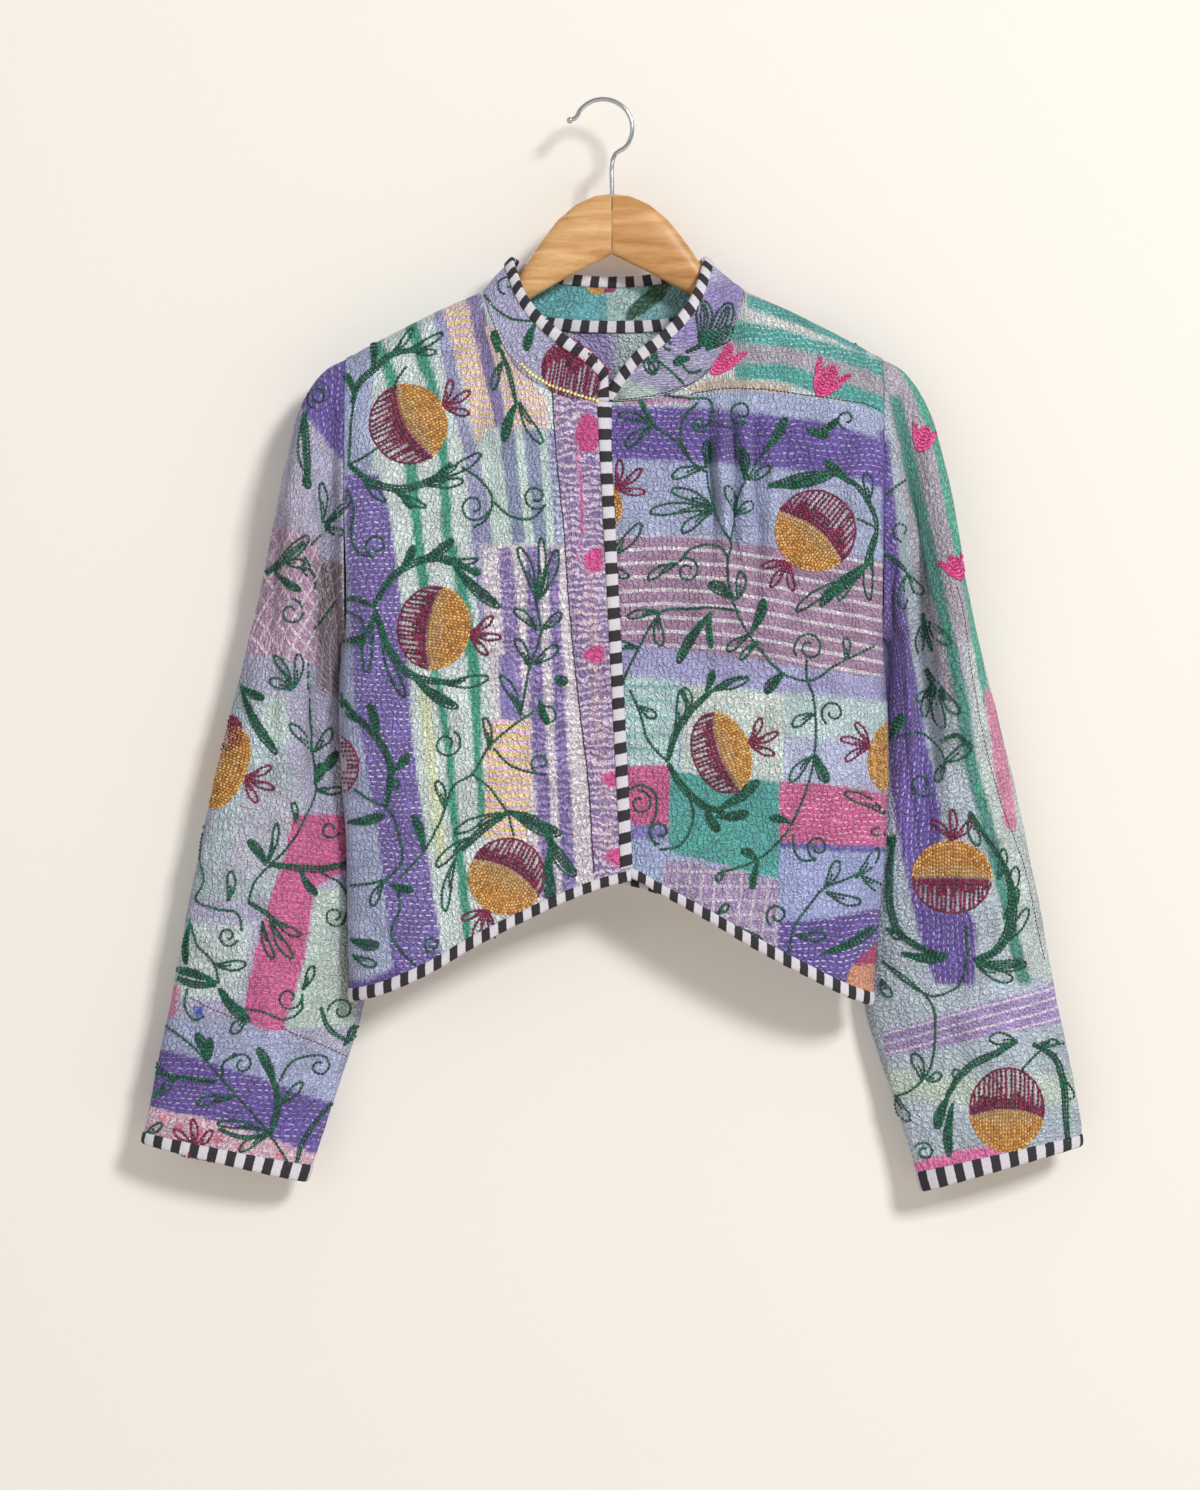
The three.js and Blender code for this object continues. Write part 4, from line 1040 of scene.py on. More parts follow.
SPRAYS_LEFT = Sprays(
    vines=(
        (1, ((616, 397), (640, 398), (648, 415), (656, 426), (675, 440), (692, 462), (705, 472))),
        (1, ((664, 395), (690, 398), (711, 401), (712, 418), (703, 427), (694, 424))),
        (1, ((712, 420), (728, 428), (746, 421))), (1, ((698, 402), (684, 418), (681, 438), (690, 458))),
        (2, ((640, 399), (646, 412), (654, 424))),
        (1, (
            (706, 470), (709, 490), (715, 512), (724, 532), (730, 541), (727, 565), (730, 592), (738, 616),
            (748, 634), (760, 650), (775, 668), (785, 676),
        )),
        (1, ((730, 541), (735, 516), (740, 492), (746, 480), (764, 452))),
        (1, ((736, 432), (737, 446), (735, 458))), (3, ((768, 487), (800, 477), (832, 473))),
        (2, ((832, 473), (854, 484), (868, 502), (876, 522), (875, 542), (868, 562))),
        (3, ((868, 562), (850, 582), (826, 598))), (1, ((857, 519), (868, 524), (876, 528))),
        (1, ((728, 560), (722, 549), (708, 545), (690, 550), (679, 562))),
        (1, (
            (740, 612), (716, 608), (690, 609), (662, 612), (652, 624), (638, 650), (626, 674), (621, 688),
        )),
        (1, ((622, 690), (618, 700), (610, 708))),
        (1, ((630, 690), (640, 713), (647, 738), (660, 755), (668, 762))),
        (3, ((668, 760), (675, 735), (690, 711), (710, 692))), (2, ((710, 692), (732, 680), (748, 677))),
        (3, ((668, 764), (682, 786), (702, 804), (724, 813))),
        (1, ((690, 796), (693, 820), (680, 845), (660, 850))),
        (1, ((628, 790), (642, 785), (654, 792), (656, 812), (650, 832), (656, 846))),
        (1, (
            (806, 660), (806, 676), (812, 694), (815, 716), (815, 745), (810, 776), (800, 805), (790, 826),
        )),
        (1, ((785, 676), (808, 681), (836, 665), (876, 645))),
        (1, ((790, 828), (776, 844), (756, 860), (736, 868), (722, 872))),
        (1, ((793, 834), (794, 850), (802, 860), (816, 860))),
        (1, ((787, 956), (795, 925), (810, 904), (824, 888), (844, 880), (864, 872))),
        (1, ((603, 560), (612, 556), (622, 548))), (3, ((886, 875), (892, 900), (904, 925))),
    ),
    leaves=(
        (654, 424, 619, 414, 6), (654, 426, 626, 446, 8), (706, 468, 708, 440, -9), (704, 468, 672, 477, 8),
        (714, 508, 672, 490, 8), (714, 510, 650, 512, 9), (712, 512, 682, 532, 8), (764, 452, 786, 418, -7),
        (744, 480, 742, 449, -8), (747, 480, 770, 467, 7), (735, 514, 726, 487, 8), (736, 514, 752, 503, 8),
        (770, 487, 834, 474, -7), (850, 484, 825, 462, -6), (868, 502, 866, 474, 8),
        (874, 534, 869, 600, 8), (870, 562, 820, 606, -7), (852, 578, 796, 611, 8), (860, 572, 838, 600, 7),
        (678, 563, 648, 579, 7), (735, 600, 709, 584, -9), (737, 600, 741, 572, 8), (604, 560, 641, 524, 9),
        (604, 564, 629, 577, 6), (750, 634, 764, 600, -7), (748, 636, 727, 651, 7),
        (784, 673, 765, 693, -8), (660, 612, 628, 617, 6), (658, 614, 661, 646, 8),
        (712, 612, 678, 663, -7), (710, 612, 711, 648, -4), (638, 648, 612, 645, 6),
        (640, 706, 656, 717, 7), (690, 714, 684, 688, 7), (706, 692, 712, 671, -5), (674, 738, 682, 690, 8),
        (712, 690, 748, 678, 6), (716, 810, 758, 781, -8), (716, 816, 748, 813, -7),
        (706, 808, 718, 831, -7), (813, 714, 792, 726, 8), (812, 756, 790, 781, 8),
        (816, 755, 827, 782, -8), (846, 660, 846, 638, 6), (758, 860, 742, 850, -6),
        (758, 862, 752, 888, -5), (724, 870, 717, 881, 5), (890, 816, 845, 793, 8), (892, 834, 872, 832, 6),
        (824, 888, 838, 861, 8), (826, 892, 861, 903, 8), (856, 878, 880, 849, 8), (862, 876, 885, 890, 7),
        (796, 935, 826, 935, 8), (820, 955, 880, 926, -7), (716, 914, 728, 904, 5), (736, 926, 762, 940, 5),
        (884, 880, 896, 836, -6), (758, 642, 740, 660, 5), (790, 822, 770, 818, -5),
        (818, 432, 838, 420, -5), (806, 428, 828, 436, -6),
    ),
    curls=(
        (742, 412, 13, 60, 1.2), (700, 424, 9, 30, 1.0), (847, 419, 10, 100, 1.0),
        (687, 571, 13, -120, 1.3), (809, 648, 16, 150, 1.4), (833, 713, 13, 120, 1.2),
        (640, 803, 13, -100, 1.1), (660, 832, 12, 90, 1.1), (818, 847, 12, 100, 1.3),
        (777, 915, 12, 120, 1.2),
    ),
    fruits=(
        Fruit(815, 531, 40, 40, 128, part=0.2),
        Fruit(721, 753, 28, 41, -20, part=0.2),
        Fruit(897, 755, 27, 38, 196, part=-0.3),
        Fruit(596, 504, 24, 28, -38, part=-0.9, crown=1.05),
    ),
    blooms=((722, 358, 20, -60), (827, 380, 20, -60), (884, 1000, 1, 0)),
    seams=(
        ("#4a2d34", 1.5, (
            (690, 394), (718, 389), (760, 389), (800, 394), (838, 399), (868, 404), (892, 416),
        )),
    ),
)
SPRAYS_SLEEVE_RIGHT = Sprays(
    vines=(
        (3, ((303, 412), (305, 440), (308, 478))), (1, ((346, 505), (330, 520), (318, 536), (310, 545))),
        (3, ((262, 572), (284, 558), (304, 542))),
        (1, (
            (304, 556), (313, 575), (309, 620), (306, 680), (307, 720), (309, 752), (312, 792), (302, 820),
            (286, 848), (268, 866), (252, 884), (246, 902),
        )),
        (1, ((334, 600), (320, 618), (310, 632))), (3, ((268, 865), (290, 868), (320, 870), (346, 864))),
        (1, ((318, 874), (336, 884), (345, 905), (340, 925))), (2, ((246, 903), (264, 914), (280, 928))),
        (1, ((200, 822), (196, 860), (200, 884), (192, 900), (214, 910), (236, 915), (240, 932))),
        (1, ((186, 920), (194, 946), (212, 966), (216, 985))), (3, ((172, 980), (190, 986), (214, 986))),
        (2, ((218, 990), (232, 1006), (246, 1020))),
        (1, ((240, 1010), (262, 1014), (282, 1022), (298, 1013), (300, 996))),
        (1, ((184, 990), (182, 1010), (192, 1022), (202, 1018))),
        (1, ((160, 1028), (184, 1044), (210, 1070), (234, 1098), (258, 1126), (275, 1150), (291, 1176))),
        (2, ((291, 1176), (300, 1146), (316, 1122), (328, 1108))),
        (3, ((268, 1136), (275, 1110), (273, 1086))), (2, ((150, 1076), (176, 1080), (214, 1084))),
        (1, ((222, 1086), (221, 1066), (234, 1055))), (1, ((276, 1084), (290, 1064), (310, 1058))),
        (2, ((216, 1132), (238, 1140), (266, 1138))), (2, ((318, 1010), (326, 1032), (344, 1046))),
    ),
    leaves=(
        (303, 410, 304, 470, 6), (306, 470, 308, 488, -6), (321, 522, 320, 482, 6), (322, 522, 346, 504, 6),
        (322, 524, 344, 533, 6), (262, 572, 308, 536, 10), (284, 562, 304, 562, 7),
        (272, 570, 300, 590, -5), (300, 566, 311, 574, 5), (292, 688, 273, 655, 6), (293, 688, 298, 654, 7),
        (291, 690, 268, 680, 8), (309, 752, 289, 724, 7), (310, 752, 328, 729, 8), (237, 684, 275, 754, -7),
        (239, 686, 262, 698, -6), (311, 778, 334, 752, -7), (312, 790, 340, 790, 6),
        (311, 785, 318, 764, -7), (264, 866, 247, 841, -7), (265, 864, 275, 824, 5),
        (294, 824, 291, 803, 4), (298, 872, 314, 896, -5), (268, 920, 290, 960, 7), (260, 922, 271, 960, 6),
        (272, 920, 297, 937, 6), (226, 902, 229, 872, 7), (186, 924, 182, 966, -5), (212, 966, 244, 965, 8),
        (214, 984, 171, 972, -6), (216, 990, 247, 1022, -8), (246, 1020, 230, 1034, 8),
        (300, 992, 310, 968, 6), (204, 1062, 194, 1036, -7), (206, 1062, 207, 1040, -5),
        (148, 1100, 170, 1082, 6), (232, 1100, 194, 1106, 7), (262, 1134, 215, 1126, 6),
        (266, 1138, 237, 1154, 7), (272, 1092, 256, 1050, -7), (274, 1108, 299, 1086, 7),
        (140, 1138, 158, 1127, 6), (150, 1066, 160, 1078, 5), (340, 1050, 352, 1030, -7),
    ),
    curls=(
        (316, 395, 12, 110, 1.2), (290, 612, 14, -90, 1.2), (332, 918, 11, 20, 1.2),
        (226, 937, 11, 20, 1.2), (286, 1000, 13, 0, 1.1), (338, 1014, 13, 180, 1.1),
        (240, 1066, 11, -150, 1.2), (316, 1070, 12, -120, 1.2), (327, 830, 10, 20, 1.0),
    ),
    fruits=(
        Fruit(221, 768, 23, 43, 22, part=-1.3, bend=0),
        Fruit(227, 733, 17, 12, -86, part=1.5, bend=0, crown=0),
        Fruit(190, 1168, 14, 24, -90, part=1.6, bend=0),
    ),
    seams=(
        ("#5f2a55", 1.3, ((186, 999), (204, 1008), (226, 1017), (250, 1024))),
        ("#5f2a55", 1.4, ((278, 1030), (300, 1040), (322, 1050), (344, 1062))),
    ),
)
SPRAYS_SLEEVE_LEFT = Sprays(
    vines=(
        (1, ((880, 500), (894, 488), (908, 478))), (2, ((882, 552), (898, 562), (912, 576))),
        (2, ((926, 612), (930, 632), (936, 650))), (3, ((930, 668), (938, 684), (946, 700))),
        (1, ((896, 737), (924, 733), (940, 745), (948, 762))),
        (3, ((897, 836), (893, 870), (894, 910), (902, 934), (924, 950), (950, 958))),
        (4, ((1008, 868), (1015, 898), (1012, 928), (1000, 950), (976, 962))),
        (1, ((968, 926), (969, 958), (960, 988), (936, 998), (914, 988), (886, 964))),
        (1, ((886, 964), (914, 984), (936, 1010), (938, 1040), (930, 1078), (912, 1096), (898, 1102))),
        (3, ((1020, 1042), (1000, 1054), (976, 1066), (960, 1082), (950, 1100))),
        (3, ((1036, 1046), (1058, 1060), (1068, 1088), (1070, 1120), (1072, 1150))),
        (1, ((1070, 1046), (1050, 1050), (1036, 1060), (1024, 1073))),
        (2, ((972, 812), (984, 832), (998, 852), (1008, 868))), (2, ((942, 742), (958, 735), (972, 748))),
    ),
    leaves=(
        (908, 572, 904, 608, 8), (912, 574, 926, 592, 8), (929, 618, 923, 652, 7), (932, 620, 951, 644, 9),
        (936, 682, 928, 716, 7), (939, 686, 945, 728, 8), (942, 686, 960, 714, 8), (946, 762, 972, 744, 10),
        (892, 738, 905, 714, -7), (972, 812, 980, 846, 8), (1000, 880, 1006, 850, 7),
        (1010, 900, 1019, 868, 8), (978, 963, 1029, 966, -9), (978, 966, 1015, 981, 9),
        (1004, 946, 1031, 910, 8), (1006, 920, 1020, 890, -7), (904, 955, 948, 960, -7),
        (885, 982, 894, 1000, 7), (926, 1084, 917, 1057, 9), (930, 1084, 944, 1077, 7),
        (1020, 1044, 992, 1040, 10), (966, 1076, 956, 1078, 8), (952, 1098, 940, 1132, -7),
        (956, 1106, 952, 1160, -6), (1066, 1078, 1077, 1102, 8), (1044, 1046, 1062, 1044, 5),
        (890, 930, 906, 940, 6), (896, 850, 890, 838, -5), (900, 1100, 912, 1126, 8),
        (936, 690, 920, 700, 6), (948, 762, 940, 782, 6),
    ),
    curls=((903, 530, 11, 90, 0.95), (925, 784, 13, 40, 1.1), (928, 1156, 10, 200, 1.3)),
    fruits=(
        Fruit(954, 878, 36, 39, -90, part=-0.05, bend=-0.05),
        Fruit(1010, 1112, 42, 37, 90, part=0.2, bend=0.2, crown=0),
    ),
    blooms=((925, 437, 15, -75), (957, 567, 15, -115)),
    seams=(
        ("#6b2b55", 1.3, (
            (958, 586), (964, 610), (972, 664), (978, 698), (989, 752), (1008, 816), (1026, 862),
            (1042, 932), (1049, 962),
        )),
    ),
)
SPRAYS_COLLAR = Sprays(
    vines=(
        (1, ((482, 288), (492, 304), (512, 318), (536, 321))), (1, ((560, 284), (562, 296), (556, 306))),
        (2, ((686, 352), (700, 345), (712, 330))), (1, ((652, 356), (668, 368), (684, 383))),
        (1, ((680, 362), (690, 372), (702, 370))), (1, ((620, 328), (614, 345), (616, 366))),
    ),
    leaves=(
        (536, 322, 526, 350, -6), (545, 322, 548, 308, 4), (492, 350, 494, 330, -6),
        (700, 346, 704, 300, -13), (704, 346, 731, 302, -14), (706, 349, 732, 326, -11),
        (690, 358, 674, 363, -6), (656, 352, 654, 372, 8), (644, 352, 654, 374, 7),
    ),
    curls=((507, 282, 11, 100, 1.0), (668, 344, 6, 60, 0.9)),
    fruits=(Fruit(575, 370, 30, 33, -80, part=1.6, bend=0, crown=0),),
    seams=(
        ("#f3e9a0", 4.8, ((520, 363), (532, 374), (548, 384), (572, 393), (588, 398), (599, 401))),
        ("#d5ccdc", 2.6, ((489, 300), (494, 320), (503, 342), (514, 358), (521, 365))),
        ("#3c3a52", 1.2, (
            (737, 312), (731, 336), (718, 360), (700, 378), (668, 391), (640, 397), (618, 399),
        )),
    ),
)


class Thread(Enum):
    """Embroidery cottons, each with the shades that it runs through."""

    GREEN = ("#0d5541", "#187252", "#083d32")
    MAROON = ("#7f1643", "#9a2657", "#5d0f35")
    GOLD = ("#d99d4a", "#ebbd74", "#bb7c33")
    TAN = ("#d2aa72", "#c2955c", "#dfc091")
    PINK = ("#e0468d", "#ec69a6", "#cb3a7b")


# A spindle's faces: 0 and 5 are its ends, 1 to 4 go round its middle
SPINDLE = ((0, 2, 1), (0, 3, 2), (0, 4, 3), (0, 1, 4), (5, 1, 2), (5, 2, 3), (5, 3, 4), (5, 4, 1))


class Needle:
    """Sews grains of thread on a cloth's outside, each a small spindle with six corners."""

    def __init__(self, name: str, mesh: bpy.types.Mesh, count: int, face: Face, seed: int) -> None:
        """Readies the cloth's vertices for finding.

        Args:
            name: name of the embroidery's object.
            mesh: the cloth's mesh.
            count: how many of its first vertices are its outside.
            face: the side that is sewn on.
            seed: seed of the thread's unevenness.
        """
        self.name, self.face = name, face
        self.chance = np.random.default_rng(seed)
        self.stitches: list[tuple[np.ndarray, np.ndarray, float, float, np.ndarray]] = []
        place = np.empty(len(mesh.vertices) * 3)
        mesh.vertices.foreach_get("co", place)
        self.place = place.reshape(-1, 3)[:count] / MM
        normal = np.empty(len(mesh.vertices) * 3)
        mesh.vertices.foreach_get("normal", normal)
        self.normal = normal.reshape(-1, 3)[:count]
        seen = np.flatnonzero(self.normal[:, 1] * face.value > 0.08)
        self.tree = KDTree(len(seen))
        for i in seen:
            self.tree.insert((self.place[i, 0], 0, self.place[i, 2]), int(i))
        self.tree.balance()

    def stitch(self, middle: np.ndarray, way: np.ndarray, length: float, width: float,
               thread: Thread | str) -> None:
        """Notes one stitch.

        Args:
            middle: its middle in picture units.
            way: unit direction in picture units.
            length: in millimetres.
            width: in millimetres.
            thread: the cotton, or a hex colour.
        """
        if isinstance(thread, Thread):
            shade = linear(thread.value[self.chance.choice(3, p=(0.5, 0.3, 0.2))])
        else:
            shade = linear(thread)
        self.stitches.append((middle, way, length, width, shade * self.chance.uniform(0.85, 1.15)))

    def read(self, points: np.ndarray, run: np.ndarray, where: np.ndarray) -> np.ndarray:
        """Reads places at distances along a line, which curves softly where it has over two points.

        Args:
            points: the line.
            run: how far along each of its points lies.
            where: the distances.

        Returns:
            The places.
        """
        if len(points) > 2:
            return np.stack([smooth(run, points[:, k], where) for k in range(2)], axis=-1)
        return np.stack([np.interp(where, run, points[:, k]) for k in range(2)], axis=-1)

    def line(self, points: np.ndarray, thread: Thread | str, width: float = 2.0, strands: int = 1,
             gap: float = 0.0) -> None:
        """Sews a line of overlapping stitches, in one strand or several side by side.

        Args:
            points: places in picture units.
            thread: the cotton.
            width: of a strand, in millimetres.
            strands: how many.
            gap: share of each stitch's step that is left bare.
        """
        points = np.asarray(points, float)
        run = running(np.linalg.norm(np.diff(points, axis=0), axis=1))
        if run[-1] < 1:
            return
        count = max(1, round(run[-1] / (STITCH_STEP / UNIT)))
        at = (np.arange(count) + 0.5) / count * run[-1]
        middle = self.read(points, run, at)
        way = self.read(points, run, at + 0.6) - self.read(points, run, at - 0.6)
        way /= np.maximum(np.linalg.norm(way, axis=1, keepdims=True), 1e-9)
        side = np.stack([-way[:, 1], way[:, 0]], axis=1)
        for strand in range(strands):
            offset = (strand - (strands - 1) / 2) * STRAND_GAP
            for k in range(count):
                taper = 1 if strands == 1 else math.sin(math.pi * (0.15 + 0.7 * (k + 0.5) / count))
                lean = way[k] + side[k] * self.chance.uniform(0.0, 0.16)
                lean = lean / np.linalg.norm(lean)
                wander = self.chance.uniform(-0.35, 0.35)
                length = run[-1] / count * UNIT * (1.5 - gap)
                self.stitch(middle[k] + side[k] * (offset * taper + wander), lean, length, width, thread)

    def leaf(self, foot: tuple[float, float], tip: tuple[float, float], width: float,
             thread: Thread = Thread.GREEN) -> None:
        """Sews a leaf in outline; a negative width is filled solid.

        Args:
            foot: where it leaves the stem, in picture units.
            tip: its tip.
            width: its width, in picture units.
            thread: the cotton.
        """
        foot, tip = np.array(foot, float), np.array(tip, float)
        along = tip - foot
        side = np.array([-along[1], along[0]]) / max(np.linalg.norm(along), 1e-6)
        half = abs(width) * 0.62
        t = np.array([0, 0.18, 0.36, 0.54, 0.7, 0.84, 0.94, 0.985, 1])[:, None]
        rounded = np.sqrt(np.clip(1 - ((t - 0.62) / 0.38) ** 2, 0, 1))
        belly = np.where(t < 0.62, (t / 0.62) ** 0.75, rounded) * half
        bow = side * np.sin(np.pi * t) * np.linalg.norm(along) * 0.05
        for sign in (1, -1):
            self.line(foot + along * t + side * belly * sign + bow, thread, 3.0)
        short = foot + along * (0.04 + 0.88 * t) + bow
        if width < 0:
            for share in (0.45, 0.0, -0.45):
                self.line(short + side * belly * share, thread, 2.8)
        else:
            self.line(foot + along * (0.05 + 0.5 * t) + bow, thread, 2.6, gap=0.2)

    def curl(self, x: float, y: float, radius: float, start: float, turns: float) -> None:
        """Sews a tendril that winds inwards from its outer end.

        Args:
            x: its middle, in picture units.
            y: the same, downwards.
            radius: of its outer end.
            start: where that end is, in degrees.
            turns: how far it winds.
        """
        t = np.linspace(0, 1, 26)
        angle = np.radians(start) + t * turns * 2 * np.pi
        reach = radius * (1 - 0.72 * t)
        self.line(np.stack([x + reach * np.cos(angle), y + reach * np.sin(angle)], axis=1), Thread.GREEN, 2.9)

    def fruit(self, fruit: Fruit) -> None:
        """Sews a fruit: maroon rows with cloth between, a gold filling, an outline and a crown.

        Args:
            fruit: the fruit.
        """
        wide, long = fruit.wide, fruit.long
        maroon_step, gold_step = (3.5 if fruit.part > 1.55 else 4.5), 2.8
        for side in np.arange(-wide + 2, wide - 1, maroon_step):
            end = -long * math.sqrt(max(1 - (side / wide) ** 2, 0))
            part = min(float(fruit.parting(np.array(side))), -end)
            if part - end > 3:
                sway = self.chance.uniform(-1.2, 1.2)
                row = [fruit.place(end + 1, side + sway), fruit.place(part - 0.5, side)]
                self.line(row, Thread.MAROON, 3.0)
                if (part - end) > 16:
                    start = part - (part - end) * self.chance.uniform(0.25, 0.6)
                    row = [fruit.place(start, side + 2.2), fruit.place(part - 1, side + 2.2)]
                    self.line(row, Thread.MAROON, 2.8)
        for side in np.arange(-wide + 2, wide - 1, gold_step):
            end = long * math.sqrt(max(1 - (side / wide) ** 2, 0))
            part = max(float(fruit.parting(np.array(side))), -end)
            if end - part > 2:
                change = mix(part, end, self.chance.uniform(0.3, 0.5))
                self.line([fruit.place(part + 0.8, side), fruit.place(change, side)], Thread.TAN, 2.6)
                self.line([fruit.place(change, side), fruit.place(end - 0.8, side)], Thread.GOLD, 2.7)
        angle = np.linspace(0, 2 * np.pi, 49)
        rim = [fruit.place(long * math.cos(a), wide * math.sin(a)) for a in angle]
        along = np.cos(angle) * long
        parting = fruit.parting(np.sin(angle) * wide)
        for k in range(48):
            thread = Thread.GOLD if along[k] > parting[k] else Thread.MAROON
            self.line([rim[k], rim[k + 1]], thread, 2.6)
        if fruit.crown:
            foot = fruit.place(long + 1, 0)
            for turn, reach in ((-44, 28), (0, 31), (44, 28)):
                a = math.radians(fruit.angle + turn)
                reach = reach * fruit.crown
                tip = (foot[0] + reach * math.cos(a), foot[1] + reach * math.sin(a))
                self.leaf(foot, tip, 5.6, Thread.MAROON)

    def bloom(self, x: float, y: float, size: float, angle: float) -> None:
        """Sews a small pink flower filled with rows.

        Args:
            x: its middle, in picture units.
            y: the same, downwards.
            size: half its height.
            angle: the way it opens, in degrees.
        """
        a = math.radians(angle)
        u, v = np.array([math.cos(a), math.sin(a)]), np.array([-math.sin(a), math.cos(a)])
        middle = np.array([x, y], float)
        for side in np.linspace(-0.8, 0.8, 19):
            top = 0.42 + 0.5 * abs(math.cos(side * 3.9))
            foot = -0.95 + 0.95 * abs(side) ** 1.7
            row = [middle + (u * foot + v * side * 0.72) * size, middle + (u * top + v * side * 1.18) * size]
            self.line(row, Thread.PINK, 2.6)

    def sew_all(self, sprays: Sprays, mirror: bool) -> None:
        """Sews everything of one piece.

        Args:
            sprays: what to sew.
            mirror: whether it is mirrored about the jacket's centre line.
        """
        for strands, points in sprays.vines:
            self.line(np.array([placed(p, mirror) for p in points]), Thread.GREEN, 3.1, strands)
        for x0, y0, x1, y1, width in sprays.leaves:
            self.leaf(tuple(placed((x0, y0), mirror)), tuple(placed((x1, y1), mirror)), width)
        for x, y, radius, start, turns in sprays.curls:
            cx, cy = placed((x, y), mirror)
            self.curl(cx, cy, radius, 180 - start if mirror else start, -turns if mirror else turns)
        for fruit in sprays.fruits:
            self.fruit(moved(fruit, mirror))
        for x, y, size, angle in sprays.blooms:
            cx, cy = placed((x, y), mirror)
            self.bloom(cx, cy, size, 180 - angle if mirror else angle)
        for colour, width, points in sprays.seams:
            gap = 0.0 if width > 1.5 else 0.45
            self.line(np.array([placed(p, mirror) for p in points]), colour, width, gap=gap)

    def finish(self) -> bpy.types.Object:
        """Makes the mesh of all the stitches that lie on the cloth.

        Returns:
            The embroidery's object.
        """
        corners, shades = [], []
        for middle, way, length, width, shade in self.stitches:
            x, z = from_picture(middle)
            _, index, distance = self.tree.find((x, 0, z))
            normal = self.normal[index]
            point = self.place[index]
            # a stitch on cloth that turns away from its face would hang in the air
            if distance > 2.6 or abs(normal[1]) < 0.25:
                continue
            step = on_plane(normal, x - point[0], z - point[2])
            if abs(step[1]) > 2.2:
                continue
            base = point + step
            along = on_plane(normal, way[0], -way[1])
            along /= np.linalg.norm(along)
            across_way = np.cross(normal, along)
            across_way /= np.linalg.norm(across_way)
            base = base + normal * 0.12
            half = width * 0.5
            corners += [
                base - along * length / 2, base + across_way * half, base + normal * width * 0.55,
                base - across_way * half, base - normal * 0.3, base + along * length / 2,
            ]
            # painted light: each stitch's top corner is painted brighter and its sides, ends and underside
            # darker, as if lit from off the cloth's face
            shades += [shade * light for light in (0.65, 0.75, 1.25, 0.75, 0.45, 0.65)]
        first = np.arange(len(corners) // 6)[:, None] * 6
        faces = np.concatenate([first + np.array(face) for face in SPINDLE])
        mesh = bpy.data.meshes.new(self.name)
        mesh.from_pydata((np.array(corners) * MM).tolist(), [], faces.tolist())
        mesh.shade_smooth()
        # the stored thread colours hold the cotton's tones and this painted light together
        paint(mesh, "thread", np.array(shades))
        obj = bpy.data.objects.new(self.name, mesh)
        bpy.context.collection.objects.link(obj)
        return obj


def placed(place: tuple[float, float], mirror: bool) -> np.ndarray:
    """Returns a place in picture units, mirrored about the jacket's centre line where asked."""
    return np.array([MIRROR_AXIS - place[0] if mirror else place[0], place[1]], float)


def moved(fruit: Fruit, mirror: bool) -> Fruit:
    """Returns a fruit, mirrored about the jacket's centre line where asked."""
    x, y = placed((fruit.x, fruit.y), mirror)
    return replace(fruit, x=x, y=y, angle=180 - fruit.angle if mirror else fruit.angle)


def on_plane(normal: np.ndarray, dx: float, dz: float) -> np.ndarray:
    """Returns the step on the plane square to a normal that goes dx across and dz up."""
    return np.array([dx, -(normal[0] * dx + normal[2] * dz) / normal[1], dz])


def to_picture(points: np.ndarray) -> tuple[np.ndarray, np.ndarray]:
    """Returns where points in millimetres lie in picture units."""
    return points[..., 0] / UNIT + HOOK_AT[0], HOOK_AT[1] - points[..., 2] / UNIT


def from_picture(place: np.ndarray) -> tuple[float, float]:
    """Returns x and z in millimetres of a place in picture units."""
    return (place[0] - HOOK_AT[0]) * UNIT, (HOOK_AT[1] - place[1]) * UNIT


def paint(mesh: bpy.types.Mesh, name: str, rgb: np.ndarray) -> None:
    """Stores a colour for each vertex.

    Args:
        mesh: the mesh.
        name: the attribute's name.
        rgb: three numbers for each vertex.
    """
    layer = mesh.color_attributes.new(name, "FLOAT_COLOR", "POINT")
    layer.data.foreach_set("color", np.column_stack([rgb, np.ones(len(rgb))]).astype(np.float32).ravel())


def crease_lift(points: np.ndarray) -> np.ndarray:
    """Adds up how far the small creases push a front surface out.

    Args:
        points: its points.

    Returns:
        The lift of each, in millimetres.
    """
    px, py = to_picture(points)
    lift = np.zeros(px.shape)
    for x0, y0, x1, y1, height, wide in CREASES:
        span = math.hypot(x1 - x0, y1 - y0)
        ux, uy = (x1 - x0) / span, (y1 - y0) / span
        along = ((px - x0) * ux + (py - y0) * uy) / span
        off = ((px - x0) * uy - (py - y0) * ux) * UNIT + 1.5 * np.sin(along * 9 + x0)
        swell = np.sin(np.pi * np.clip(along, 0, 1)) ** 0.7
        lift += CREASE_DEPTH * height * swell * np.exp(-((off / wide) ** 2))
    return lift


